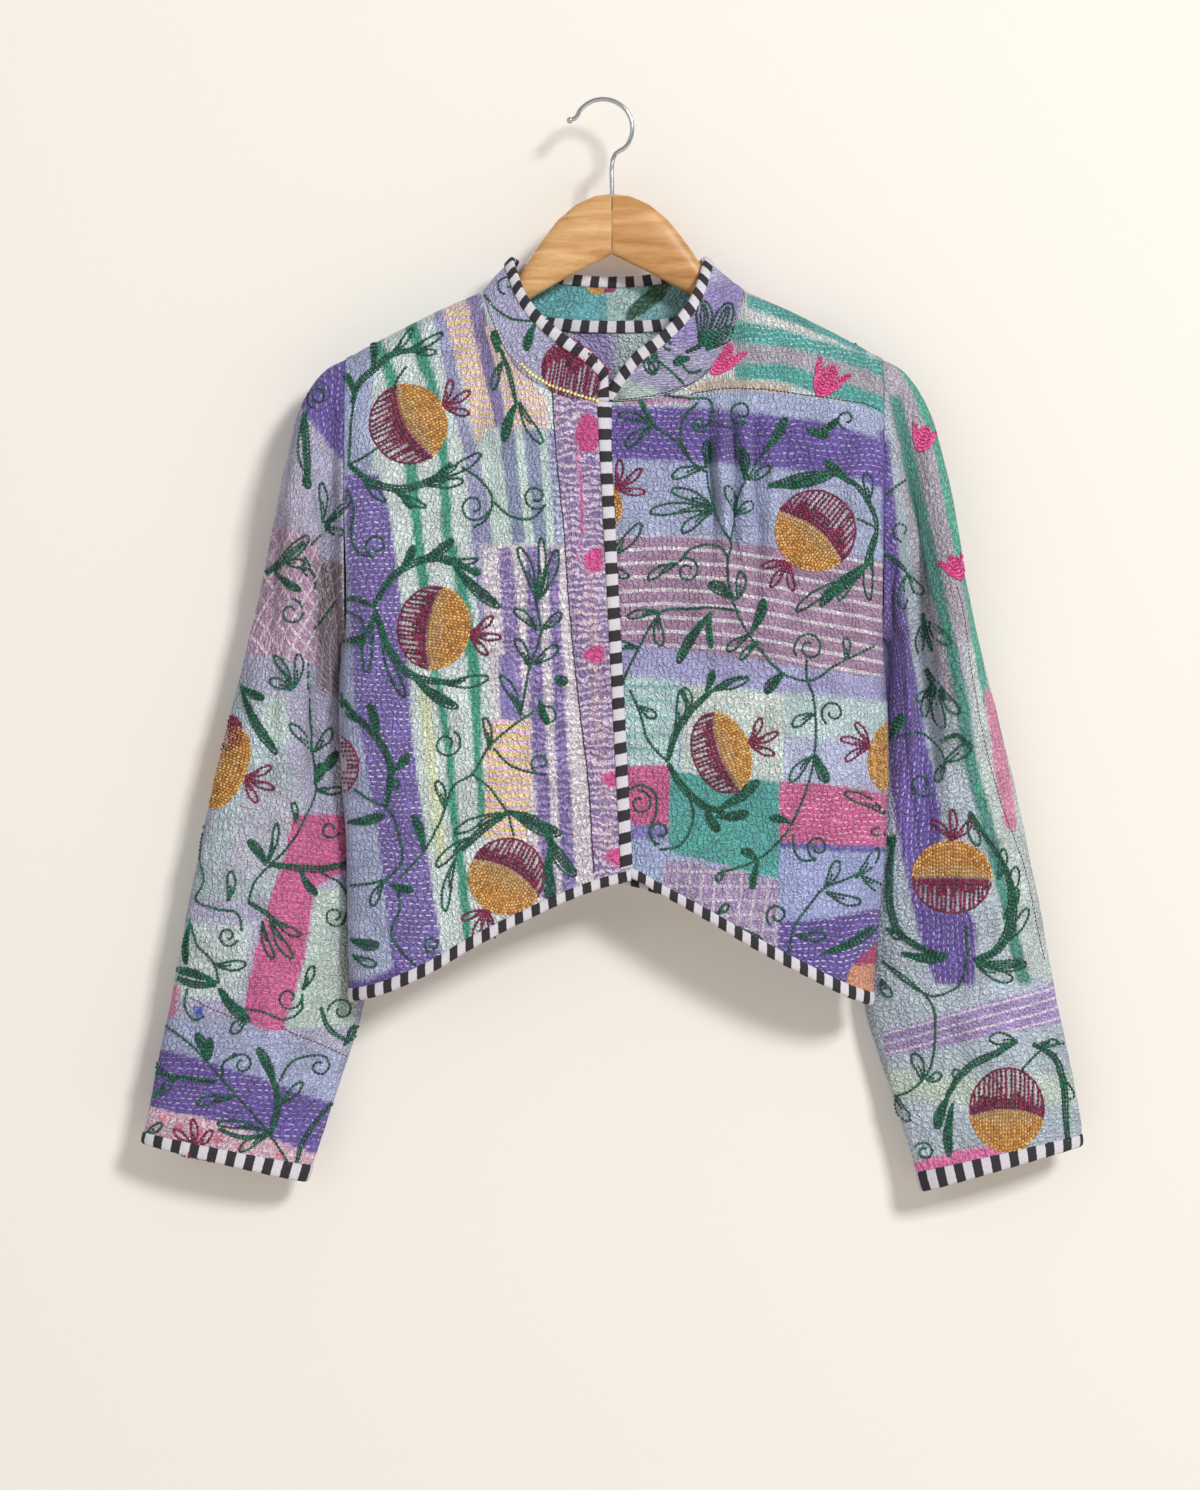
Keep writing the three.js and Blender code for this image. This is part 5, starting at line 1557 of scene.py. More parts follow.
def grid_faces(n: int, m: int, closed: bool) -> tuple[np.ndarray, np.ndarray]:
    """Quads of a two-layered grid with walls round its edges.

    Args:
        n: columns.
        m: rows.
        closed: whether the last column joins the first.

    Returns:
        Corners as vertex numbers, and as numbers into a table of UVs that has one more column when closed.
    """
    columns = n + 1 if closed else n
    number = np.arange(columns * m).reshape(columns, m)
    corners = [number[:-1, :-1], number[1:, :-1], number[1:, 1:], number[:-1, 1:]]
    outer = np.stack([corner.ravel() for corner in corners], axis=1)
    layer = columns * m
    inner = outer[:, ::-1] + layer
    top, foot = number[:, 0], number[:, -1]
    rims = [np.stack([top[:-1] + layer, top[1:] + layer, top[1:], top[:-1]], axis=1),
            np.stack([foot[:-1], foot[1:], foot[1:] + layer, foot[:-1] + layer], axis=1)]
    if not closed:
        start, end = number[0], number[-1]
        rims += [np.stack([start[:-1], start[1:], start[1:] + layer, start[:-1] + layer], axis=1),
                 np.stack([end[:-1] + layer, end[1:] + layer, end[1:], end[:-1]], axis=1)]
    corners = np.concatenate([outer, inner, *rims])
    which, rest = corners // layer, corners % layer
    vertex = which * n * m + (rest // m % n) * m + rest % m
    return vertex, rest


@dataclass
class ClothPiece:
    """One cut piece of the jacket: its surface, its print inside and out, and its embroidery."""

    name: str
    surface: Cloth
    ground: str
    prints: list[Patch]
    sprays: list[tuple[Sprays, Face, bool]]
    inside: list[Patch]
    flat: tuple[float, float]
    area: float
    lengthwise: bool = False
    faces_viewer: bool = True
    inside_ground: str = "#b9b8cf"
    # white lines across the print: how they bow, where the first is and their pitch, in picture units
    rule: tuple = (((600, 0), (665, -3), (730, 1), (773, 8), (817, 17), (895, 30)), 549.5, 13.8)
    measured: float = field(default=0.0, init=False)

    def build(self) -> tuple[bpy.types.Object, list[bpy.types.Object]]:
        """Makes the cloth and its embroidery.

        Returns:
            The cloth's object and the embroidery's objects.
        """
        s = self.surface
        a, b = s.spread()
        grid_a, grid_b = np.meshgrid(a, b, indexing="ij")
        mid = s.point(grid_a, grid_b)
        normal = self.outer_normals(mid)
        front = np.clip(-normal[..., 1] * 1.6 - 0.2, 0, 1) if self.faces_viewer else 0
        n, m = mid.shape[:2]
        # creases and puckers fade out over four rows of vertices at a cut edge
        edge = np.minimum(1, np.minimum(np.arange(m), np.arange(m)[::-1])[None, :] / 4)
        if not s.closed:
            edge = edge * np.minimum(1, np.minimum(np.arange(n), np.arange(n)[::-1])[:, None] / 4)
        mid = mid + normal * (crease_lift(mid) * front * edge)[..., None]
        run, fall = self.lengths(mid)
        pucker = 0.28 * cloudy(run, fall, 9, 11) + 0.3 * cloudy(run, fall, 17, 12)
        pucker = pucker + 0.35 * cloudy(run, fall * 0.5, 26, 13)
        mid = mid + normal * (pucker * edge)[..., None]
        normal = self.outer_normals(mid)
        s.tidy(normal, a, b)
        normal /= np.linalg.norm(normal, axis=2, keepdims=True)
        outer, inner = mid + normal * WALL / 2, mid - normal * WALL / 2
        vertex, corner = grid_faces(n, m, s.closed)
        first = vertex[len(vertex) // 5]
        points = np.concatenate([outer.reshape(-1, 3), inner.reshape(-1, 3)])
        turn = np.cross(points[first[1]] - points[first[0]], points[first[2]] - points[first[0]])
        if np.dot(turn, normal.reshape(-1, 3)[first[0]]) < 0:
            vertex, corner = vertex[:, ::-1], corner[:, ::-1]
        mesh = bpy.data.meshes.new(self.name + "_cloth")
        mesh.from_pydata((points * MM).tolist(), [], vertex.tolist())
        mesh.shade_smooth()
        uv = np.stack([run, fall], axis=-1)
        if s.closed:
            ring = np.linalg.norm(mid[0] - mid[-1], axis=1)
            last = np.stack([run[-1] + ring, fall[-1]], axis=-1)
            uv = np.concatenate([uv, last[None]])
        uv = uv.reshape(-1, 2)[corner.ravel()] * MM
        if self.lengthwise:
            uv = uv[:, ::-1]
        mesh.uv_layers.new(name="cloth").data.foreach_set("uv", uv.astype(np.float32).ravel())
        self.dye(mesh, outer, inner)
        obj = bpy.data.objects.new(self.name + "_cloth", mesh)
        bpy.context.collection.objects.link(obj)
        self.measured = self.middle_area(mid)
        work = []
        for k, (sprays, face, mirror) in enumerate(self.sprays):
            needle = Needle(f"stitching_{self.name}_{face.name.lower()}_{k}", mesh, n * m, face, 40 + k)
            needle.sew_all(sprays, mirror)
            work.append(needle.finish())
        return obj, work

    def outer_normals(self, mid: np.ndarray) -> np.ndarray:
        """Returns the middle surface's unit normals, turned outwards."""
        normal = normals_of(mid, self.surface.closed)
        return -normal if np.sum(normal * self.surface.outward(mid)) < 0 else normal

    def lengths(self, mid: np.ndarray) -> tuple[np.ndarray, np.ndarray]:
        """Measures lengths along the cloth, so that patterns lie on it unstretched.

        Args:
            mid: the middle surface.

        Returns:
            Lengths across and lengths down, in millimetres.
        """
        step = np.linalg.norm(np.diff(mid, axis=0), axis=2)
        run = np.concatenate([np.zeros((1, mid.shape[1])), np.cumsum(step, axis=0)])
        drop = np.linalg.norm(np.diff(mid, axis=1), axis=2)
        if self.surface.closed or self.surface.band:
            fall = running(drop.mean(axis=0))
            return run, np.broadcast_to(fall, run.shape).copy()
        extra = drop - np.abs(np.diff(mid[..., 2], axis=1))
        past = np.cumsum(extra[:, ::-1], axis=1)[:, ::-1]
        return run, mid[..., 2] + np.concatenate([past, np.zeros((mid.shape[0], 1))], axis=1)

    def middle_area(self, mid: np.ndarray) -> float:
        """Measures the cloth, to compare with its cut.

        Args:
            mid: the middle surface.

        Returns:
            Its area in square metres.
        """
        if self.surface.closed:
            mid = np.concatenate([mid, mid[:1]])
        cross = np.cross(mid[1:, :-1] - mid[:-1, :-1], mid[:-1, 1:] - mid[:-1, :-1])
        return float(np.linalg.norm(cross, axis=2).sum()) * 1e-6

    def dye(self, mesh: bpy.types.Mesh, outer: np.ndarray, inner: np.ndarray) -> None:
        """Prints the outside and the inside, and stores their colours on the mesh.

        Args:
            mesh: the cloth's mesh.
            outer: the outside's points.
            inner: the inside's points.
        """
        px, py = to_picture(outer.reshape(-1, 3))
        out = Print(px, py, self.ground)
        for patch in self.prints:
            out.patch(patch)
        for sprays, face, mirror in self.sprays:
            if face is Face.FRONT or not self.surface.closed:
                for fruit in sprays.fruits:
                    out.fruit(moved(fruit, mirror))
        px, py = to_picture(inner.reshape(-1, 3))
        inn = Print(px, py, self.inside_ground)
        for patch in self.inside:
            inn.patch(patch)
        paint(mesh, "print", np.concatenate([out.rgb, inn.rgb]))
        fine = np.concatenate([out.fine, inn.fine])
        paint(mesh, "marks", fine[:, :3])
        paint(mesh, "bars", fine[:, 3:6])
        px, py = to_picture(np.concatenate([outer.reshape(-1, 3), inner.reshape(-1, 3)]))
        bow, first, pitch = self.rule
        bowed = np.interp(px, [x for x, _ in bow], [y for _, y in bow])
        phase = (py - first - bowed) / pitch / PHASES + 0.5
        paint(mesh, "phase", np.column_stack([phase, phase, phase]))


def mirrored_patches(patches: list[Patch]) -> list[Patch]:
    """Mirrors a print about the jacket's centre line.

    Args:
        patches: the print.

    Returns:
        The mirrored print.
    """
    out = []
    for patch in patches:
        if patch.way is Way.DOWN:
            rows = tuple((y, MIRROR_AXIS - x1, MIRROR_AXIS - x0) for y, x0, x1 in patch.rows)
        else:
            rows = tuple((MIRROR_AXIS - x, y0, y1) for x, y0, y1 in reversed(patch.rows))
        out.append(replace(patch, rows=rows))
    return out


# Round a strip's section: place between its foot (0) and the edge (1), height, and reach past that place
SECTION = (
    (0.0, 0.0, -0.2), (0.0, 0.75, -0.15), (0.06, 1.0, 0.0), (0.35, 1.12, 0.0), (0.75, 1.1, 0.0),
    (1.0, 0.98, 0.1), (1.0, 0.72, 1.1), (1.0, 0.3, 1.75), (1.0, -0.3, 1.75), (1.0, -0.72, 1.1),
    (1.0, -0.98, 0.1), (0.75, -1.1, 0.0), (0.35, -1.12, 0.0), (0.06, -1.0, 0.0), (0.0, -0.75, -0.15),
)


@dataclass
class Binding:
    """A striped strip folded round a cloth's edge."""

    name: str
    edge: np.ndarray
    inner: np.ndarray
    edge_normal: np.ndarray
    inner_normal: np.ndarray
    period: float = 15.2
    closed: bool = False

    def build(self) -> bpy.types.Object:
        """Makes the strip.

        Returns:
            Its object.
        """
        out = self.edge - self.inner
        out /= np.linalg.norm(out, axis=1, keepdims=True)
        skin = SLOT + 1.0
        middle = (self.edge + self.inner) / 2
        run = running(np.linalg.norm(np.diff(middle, axis=0), axis=1))
        swell = 1 + 0.05 * np.sin(run / 2.4)[:, None] + 0.05 * cloudy(run, run * 0, 6, 5)[:, None]
        rings = []
        for share, height, reach in SECTION:
            normal = mix(self.inner_normal, self.edge_normal, share)
            middle_of = mix(self.inner, self.edge, share)
            rings.append(middle_of + normal * height * skin * swell + out * reach * swell)
        ring = np.stack(rings, axis=1)
        n, k = ring.shape[:2]
        columns = n if self.closed else n - 1
        i, j = np.meshgrid(np.arange(columns), np.arange(k), indexing="ij")
        i, j = i.ravel(), j.ravel()
        here, ahead = i * k, (i + 1) % n * k
        faces = np.stack([here + j, ahead + j, ahead + (j + 1) % k, here + (j + 1) % k], axis=1)
        length, repeat = run[-1], self.period
        if self.closed:
            # a whole number of stripes goes round
            length = length + np.linalg.norm(middle[0] - middle[-1])
            repeat = length / round(length / self.period)
        u = np.append(run, length) / repeat
        uv = np.stack([np.stack([u[i + di], (j + dj) / k], 1) for di, dj in ((0, 0), (1, 0), (1, 1), (0, 1))],
                      axis=1)
        faces, uv = faces.tolist(), uv.reshape(-1, 2)
        if not self.closed:
            faces += [list(range(k))[::-1], [(n - 1) * k + q for q in range(k)]]
            uv = np.concatenate([uv, np.tile([u[0], 0.5], (k, 1)), np.tile([u[n - 1], 0.5], (k, 1))])
        mesh = bpy.data.meshes.new(self.name + "_strip")
        mesh.from_pydata((ring.reshape(-1, 3) * MM).tolist(), [], faces)
        mesh.shade_smooth()
        mesh.uv_layers.new(name="strip").data.foreach_set("uv", uv.astype(np.float32).ravel())
        obj = bpy.data.objects.new(self.name + "_strip", mesh)
        bpy.context.collection.objects.link(obj)
        face_outwards(obj)
        return obj


def face_outwards(obj: bpy.types.Object) -> None:
    """Turns all of an object's faces outwards.

    Args:
        obj: the object.
    """
    bpy.ops.object.select_all(action="DESELECT")
    bpy.context.view_layer.objects.active = obj
    obj.select_set(True)
    bpy.ops.object.mode_set(mode="EDIT")
    bpy.ops.mesh.select_all(action="SELECT")
    bpy.ops.mesh.normals_make_consistent(inside=False)
    bpy.ops.object.mode_set(mode="OBJECT")


def strip_along(name: str, cloth: Cloth, edge: tuple, inner: tuple, period: float = 15.2,
                closed: bool = False) -> Binding:
    """Places a binding along a cloth's edge.

    Args:
        name: the CAD node it stands for.
        cloth: the bound cloth.
        edge: places across and down along the edge.
        inner: the same along the strip's foot.
        period: millimetres from one dark stripe to the next.
        closed: whether it runs round a tube.

    Returns:
        The binding.
    """
    if closed:
        grid = cloth.point(*np.broadcast_arrays(edge[0], edge[1]))
        centre = grid.mean(axis=0)
        tangent = np.roll(grid, -1, 0) - np.roll(grid, 1, 0)
        foot = cloth.point(*np.broadcast_arrays(inner[0], inner[1]))
        normal = np.cross(tangent, grid - foot)
        normal /= np.linalg.norm(normal, axis=1, keepdims=True)
        flip = np.sum(normal * (grid - centre), axis=1) < 0
        normal = np.where(flip[:, None], -normal, normal)
        return Binding(name, grid, foot, normal, normal, period, True)
    e, i = np.broadcast_arrays(*edge), np.broadcast_arrays(*inner)
    return Binding(name, cloth.point(*e), cloth.point(*i), cloth.normal(*e), cloth.normal(*i), period)


SOFT = {"interpolation_type": "SMOOTHSTEP"}  # for a range whose two ends are soft


def add(tree: bpy.types.NodeTree, kind: str, links: dict[int | str, object] | None = None, out: int | str = 0,
        **settings: object) -> bpy.types.NodeSocket | None:
    """Adds a node with its settings and links.

    Args:
        tree: the material's nodes.
        kind: the node's type, without the ShaderNode before it.
        links: its inputs, by name or number; a socket is linked and anything else is set.
        out: the output wanted, by name or number.
        settings: the node's own settings.

    Returns:
        That output, or None where the node has none.
    """
    node = tree.nodes.new("ShaderNode" + kind)
    for key, value in settings.items():
        setattr(node, key, value)
    for key, value in (links or {}).items():
        if isinstance(value, bpy.types.NodeSocket):
            tree.links.new(value, node.inputs[key])
        else:
            node.inputs[key].default_value = value
    return node.outputs[out] if node.outputs else None


def rgba(code: str) -> tuple[float, float, float, float]:
    """Returns a hex colour as a node takes it."""
    return (*[float(c) for c in linear(code)], 1.0)


def blank(name: str) -> tuple[bpy.types.Material, bpy.types.NodeTree]:
    """Starts a material with its nodes cleared.

    Args:
        name: what it is made of.

    Returns:
        The material and its nodes.
    """
    material = bpy.data.materials.new(name)
    material.use_nodes = True
    material.node_tree.nodes.clear()
    return material, material.node_tree


@dataclass(frozen=True)
class KanthaCotton:
    """Old sari cottons, block-dyed, layered and quilted by hand in close rows of running stitch.

    To the eye: matte colour with a grainy, worn print, dimpled all over by the rows, which pucker it, with
    shade painted into the colour of the hollows.
    Sizes are in metres. The rows are drawn a little coarser than real ones, so that they show.
    """

    row: float = 0.0046  # from one row of stitches to the next
    stitch: float = 0.0060  # from one stitch to the next
    pucker: tuple[float, float] = (0.0047, 0.0068)  # one cell of the honeycomb, along and across the rows
    check: tuple[float, float] = (0.0115, 0.0118)  # between a check's pale lines
    rung: float = 0.0064  # between a ladder's rungs
    bar: float = 0.0068  # between yellow bars
    rough: float = 0.88

    def build(self) -> bpy.types.Material:
        """Makes the material.

        Returns:
            The material.
        """
        material, t = blank("kantha quilted cotton")
        place = add(t, "UVMap", uv_map="cloth")
        cloudy_way = {"Vector": place, "Detail": 1.0, "Roughness": 0.65}
        drift = add(t, "TexNoise", {**cloudy_way, "Scale": 140.0}, "Color")
        ragged = add(t, "VectorMath", {0: drift, 1: (0.0026, 0.0026, 0), 2: place}, operation="MULTIPLY_ADD")
        drift = add(t, "TexNoise", {**cloudy_way, "Scale": 26.0}, "Color")
        sewn = add(t, "VectorMath", {0: drift, 1: (0.012, 0.012, 0), 2: ragged}, operation="MULTIPLY_ADD")
        u = add(t, "SeparateXYZ", {0: sewn})
        v = u.node.outputs[1]
        grain = add(t, "TexNoise", {"Vector": place, "Scale": 760.0, "Detail": 3.0, "Roughness": 0.65})
        cloud = add(t, "TexNoise", {"Vector": place, "Scale": 34.0, "Detail": 3.0, "Roughness": 0.65})
        chance, hollow, thread = self.quilting(t, u, v)
        colour, dash = self.dyes(t, place, v, grain)
        # worn by grains and clouds, with shade painted into the hollows
        fine = add(t, "MapRange", {0: grain, 1: 0.3, 2: 0.7, 3: 0.42, 4: 1.5}, **SOFT)
        broad = add(t, "MapRange", {0: cloud, 1: 0.25, 2: 0.75, 3: 0.8, 4: 1.16}, **SOFT)
        worn = add(t, "Math", {0: fine, 1: broad}, operation="MULTIPLY")
        depth = add(t, "MapRange", {0: chance, 1: 0.0, 2: 1.0, 3: 0.6, 4: 1.0}, **SOFT)
        dark = add(t, "Math", {0: hollow, 1: depth}, operation="MULTIPLY")
        painted_shade_factor = add(t, "Math", {0: dark, 1: -0.5, 2: 1.2}, operation="MULTIPLY_ADD")
        shade = add(t, "Math", {0: worn, 1: painted_shade_factor}, operation="MULTIPLY")
        grey = add(t, "CombineColor", {0: shade, 1: shade, 2: shade})
        colour = add(t, "Mix", {0: 1.0, 6: colour, 7: grey}, 2, data_type="RGBA", blend_type="MULTIPLY")
        # the quilting thread: pale on the dark dyes, lost on the light ones
        shows = add(t, "MapRange", {0: cloud, 1: 0.36, 2: 0.55, 3: 0.3, 4: 1.0}, **SOFT)
        whole = add(t, "MapRange", {0: chance, 1: 0.1, 2: 0.5, 3: 0.2, 4: 1.0}, **SOFT)
        shows = add(t, "Math", {0: shows, 1: whole}, operation="MULTIPLY")
        shows = add(t, "Math", {0: dash, 1: shows}, operation="MULTIPLY")
        shows = add(t, "Math", {0: shows, 1: 0.86, 2: 0.14}, operation="MULTIPLY_ADD")
        shows = add(t, "Math", {0: thread, 1: shows}, operation="MULTIPLY")
        colour = add(t, "Mix", {0: shows, 6: colour, 7: rgba("#e9e3ee")}, 2, data_type="RGBA")
        # lumps of wadding, grain, and the hollows pressed into them
        lumps = add(t, "TexNoise", {"Vector": place, "Scale": 170.0, "Detail": 2.0, "Roughness": 0.65})
        lumps = add(t, "Math", {0: lumps, 1: 1.3}, operation="MULTIPLY")
        lumps = add(t, "Math", {0: grain, 1: 0.45, 2: lumps}, operation="MULTIPLY_ADD")
        height = add(t, "Math", {0: hollow, 1: -0.95, 2: lumps}, operation="MULTIPLY_ADD")
        bump = add(t, "Bump", {"Strength": 1.0, "Distance": 0.0017, "Height": height})
        shader = add(t, "BsdfPrincipled", {"Base Color": colour, "Roughness": self.rough, "Normal": bump,
                                           "Sheen Weight": 0.12, "Specular IOR Level": 0.25})
        add(t, "OutputMaterial", {"Surface": shader})
        return material

    def quilting(self, t: bpy.types.NodeTree, u: bpy.types.NodeSocket, v: bpy.types.NodeSocket) -> tuple:
        """Draws rows of running stitch, each row about half a step on from the last, and their puckers.

        Args:
            t: the material's nodes.
            u: place along the rows.
            v: place across them.

        Returns:
            Outputs with a chance number for each stitch, how deep the cloth is pressed in, and where
            thread shows.
        """
        row = add(t, "Math", {0: v, 1: self.row}, operation="DIVIDE")
        number = add(t, "Math", {0: row}, operation="FLOOR")
        own = add(t, "TexWhiteNoise", {"W": number}, noise_dimensions="1D")
        half = add(t, "Math", {0: number, 1: 0.5}, operation="MULTIPLY")
        shift = add(t, "Math", {0: own, 1: 0.5, 2: half}, operation="MULTIPLY_ADD")
        along = add(t, "Math", {0: u, 1: self.stitch}, operation="DIVIDE")
        along = add(t, "Math", {0: along, 1: shift}, operation="ADD")
        step = add(t, "Math", {0: along}, operation="FLOOR")
        cell = add(t, "CombineXYZ", {0: number, 1: step})
        chance = add(t, "TexWhiteNoise", {"Vector": cell}, noise_dimensions="2D")
        off = []
        for way in (row, along):
            part = add(t, "Math", {0: way}, operation="FRACT")
            part = add(t, "Math", {0: part, 1: 0.5}, operation="SUBTRACT")
            off.append(add(t, "Math", {0: part}, operation="ABSOLUTE"))
        valley = add(t, "MapRange", {0: off[0], 1: 0.04, 2: 0.44, 3: 1.0, 4: 0.0}, **SOFT)
        held = add(t, "MapRange", {0: off[1], 1: 0.1, 2: 0.46, 3: 1.0, 4: 0.04}, **SOFT)
        dimple = add(t, "Math", {0: valley, 1: held}, operation="MULTIPLY")
        dimple = add(t, "Math", {0: dimple, 1: 0.62}, operation="MULTIPLY")
        # the honeycomb of small puckers that the rows draw up between them
        comb_u = add(t, "Math", {0: u, 1: self.pucker[0]}, operation="DIVIDE")
        comb_v = add(t, "Math", {0: v, 1: self.pucker[1]}, operation="DIVIDE")
        comb = add(t, "CombineXYZ", {0: comb_u, 1: comb_v})
        rim = add(t, "TexVoronoi", {"Vector": comb, "Scale": 1.0, "Randomness": 0.85}, "Distance",
                  voronoi_dimensions="2D", feature="DISTANCE_TO_EDGE")
        crack = add(t, "MapRange", {0: rim, 1: 0.0, 2: 0.34, 3: 0.8, 4: 0.0}, **SOFT)
        hollow = add(t, "Math", {0: dimple, 1: crack}, operation="MAXIMUM")
        thin = add(t, "MapRange", {0: off[0], 1: 0.06, 2: 0.16, 3: 1.0, 4: 0.0}, **SOFT)
        short = add(t, "MapRange", {0: off[1], 1: 0.22, 2: 0.32, 3: 1.0, 4: 0.0}, **SOFT)
        thread = add(t, "Math", {0: thin, 1: short}, operation="MULTIPLY")
        return chance, hollow, thread

    def dyes(self, t: bpy.types.NodeTree, place: bpy.types.NodeSocket, v: bpy.types.NodeSocket,
             grain: bpy.types.NodeSocket) -> tuple[bpy.types.NodeSocket, bpy.types.NodeSocket]:
        """Prints the fine patterns on the dyed patches, where the cloth's attributes ask for them.

        Args:
            t: the material's nodes.
            place: the cloth's UV place.
            v: place across the rows.
            grain: grains about a millimetre across.

        Returns:
            Outputs with the colour, and with how plainly the quilting thread shows.
        """
        colour = add(t, "Attribute", out="Color", attribute_name="print")
        marks = add(t, "Attribute", out="Color", attribute_name="marks")
        marks = add(t, "SeparateColor", {0: marks}).node.outputs
        bars = add(t, "Attribute", out="Color", attribute_name="bars")
        bars = add(t, "SeparateColor", {0: bars}).node.outputs
        phase = add(t, "SeparateColor", {0: add(t, "Attribute", out="Color", attribute_name="phase")})
        # rungs of a ladder, never quite level
        sway = add(t, "TexNoise", {"Vector": place, "Scale": 75.0, "Detail": 2.0, "Roughness": 0.65})
        sway = add(t, "Math", {0: sway, 1: 3.0}, operation="MULTIPLY")
        rung = add(t, "Math", {0: v, 1: self.rung}, operation="DIVIDE")
        rung = add(t, "Math", {0: rung, 1: sway}, operation="ADD")
        rung = add(t, "Math", {0: rung}, operation="FRACT")
        rung = add(t, "MapRange", {0: rung, 1: 0.4, 2: 0.55, 3: 0.0, 4: 1.0}, **SOFT)
        worn = add(t, "MapRange", {0: grain, 1: 0.4, 2: 0.52, 3: 0.55, 4: 1.0}, **SOFT)
        rung = add(t, "Math", {0: rung, 1: worn}, operation="MULTIPLY")
        rung = add(t, "Math", {0: rung, 1: marks[1]}, operation="MULTIPLY")
        colour = add(t, "Mix", {0: rung, 6: colour, 7: rgba("#6c5a9c")}, 2, data_type="RGBA")
        # pale lines of a check
        sway = add(t, "TexNoise", {"Vector": place, "Scale": 90.0, "Detail": 0.0, "Roughness": 0.65}, "Color")
        straight = add(t, "VectorMath", {0: sway, 1: (0.0016, 0.0016, 0), 2: place}, operation="MULTIPLY_ADD")
        straight = add(t, "SeparateXYZ", {0: straight}).node.outputs
        lines = []
        for way, size in zip(straight, self.check):
            line = add(t, "Math", {0: way, 1: size}, operation="DIVIDE")
            line = add(t, "Math", {0: line}, operation="FRACT")
            lines.append(add(t, "MapRange", {0: line, 1: 0.17, 2: 0.25, 3: 1.0, 4: 0.0}, **SOFT))
        check = add(t, "Math", {0: lines[0], 1: lines[1]}, operation="MAXIMUM")
        check = add(t, "Math", {0: check, 1: marks[2]}, operation="MULTIPLY")
        check = add(t, "Math", {0: check, 1: 0.7}, operation="MULTIPLY")
        colour = add(t, "Mix", {0: check, 6: colour, 7: rgba("#e6dcdf")}, 2, data_type="RGBA")
        # white woven lines, whose places are on the cloth
        ruled = add(t, "Math", {0: phase, 1: PHASES}, operation="MULTIPLY")
        ruled = add(t, "Math", {0: ruled}, operation="FRACT")
        ruled = add(t, "MapRange", {0: ruled, 1: 0.2, 2: 0.3, 3: 0.85, 4: 0.0}, **SOFT)
        ruled = add(t, "Math", {0: ruled, 1: bars[2]}, operation="MULTIPLY")
        colour = add(t, "Mix", {0: ruled, 6: colour, 7: rgba("#e9e4ec")}, 2, data_type="RGBA")
        # yellow bars
        bar = add(t, "Math", {0: v, 1: self.bar}, operation="DIVIDE")
        bar = add(t, "Math", {0: bar}, operation="FRACT")
        bar = add(t, "MapRange", {0: bar, 1: 0.42, 2: 0.56, 3: 0.0, 4: 1.0}, **SOFT)
        bar = add(t, "Math", {0: bar, 1: bars[0]}, operation="MULTIPLY")
        colour = add(t, "Mix", {0: bar, 6: colour, 7: rgba("#efd98f")}, 2, data_type="RGBA")
        # grains of dye about a millimetre across, and lint of other colours
        dots = add(t, "TexNoise", {"Vector": place, "Scale": 560.0, "Detail": 2.0, "Roughness": 0.65})
        dots = add(t, "MapRange", {0: dots, 1: 0.48, 2: 0.62, 3: 0.0, 4: 0.75}, **SOFT)
        dots = add(t, "Math", {0: dots, 1: bars[1]}, operation="MULTIPLY")
        colour = add(t, "Mix", {0: dots, 6: colour, 7: rgba("#70679a")}, 2, data_type="RGBA")
        noise = {"Vector": place, "Scale": 420.0, "Detail": 2.0, "Roughness": 0.65}
        lint = add(t, "TexNoise", noise, "Color")
        return add(t, "Mix", {0: 0.07, 6: colour, 7: lint}, 2, data_type="RGBA"), marks[0]


@dataclass(frozen=True)
class StrandedCotton:
    """Stranded embroidery cotton, loosely twisted: deep colour with a soft lustre, over painted light and
    shade stored in each stitch's colours.
    """

    rough: float = 0.55

    def build(self) -> bpy.types.Material:
        """Makes the material.

        Returns:
            The material.
        """
        material, t = blank("stranded embroidery cotton")
        place = add(t, "TexCoord", out="Object")
        fibre = add(t, "TexNoise", {"Vector": place, "Scale": 1400.0, "Detail": 1.0})
        shade = add(t, "MapRange", {0: fibre, 1: 0.3, 2: 0.7, 3: 0.8, 4: 1.2})
        # the stored colours hold each stitch's cotton and its painted light and shade
        colour = add(t, "Attribute", out="Color", attribute_name="thread")
        grey = add(t, "CombineColor", {0: shade, 1: shade, 2: shade})
        colour = add(t, "Mix", {0: 1.0, 6: colour, 7: grey}, 2, data_type="RGBA", blend_type="MULTIPLY")
        bump = add(t, "Bump", {"Strength": 0.3, "Distance": 0.0004, "Height": fibre})
        shader = add(t, "BsdfPrincipled", {"Base Color": colour, "Roughness": self.rough, "Normal": bump,
                                           "Sheen Weight": 0.1})
        add(t, "OutputMaterial", {"Surface": shader})
        return material


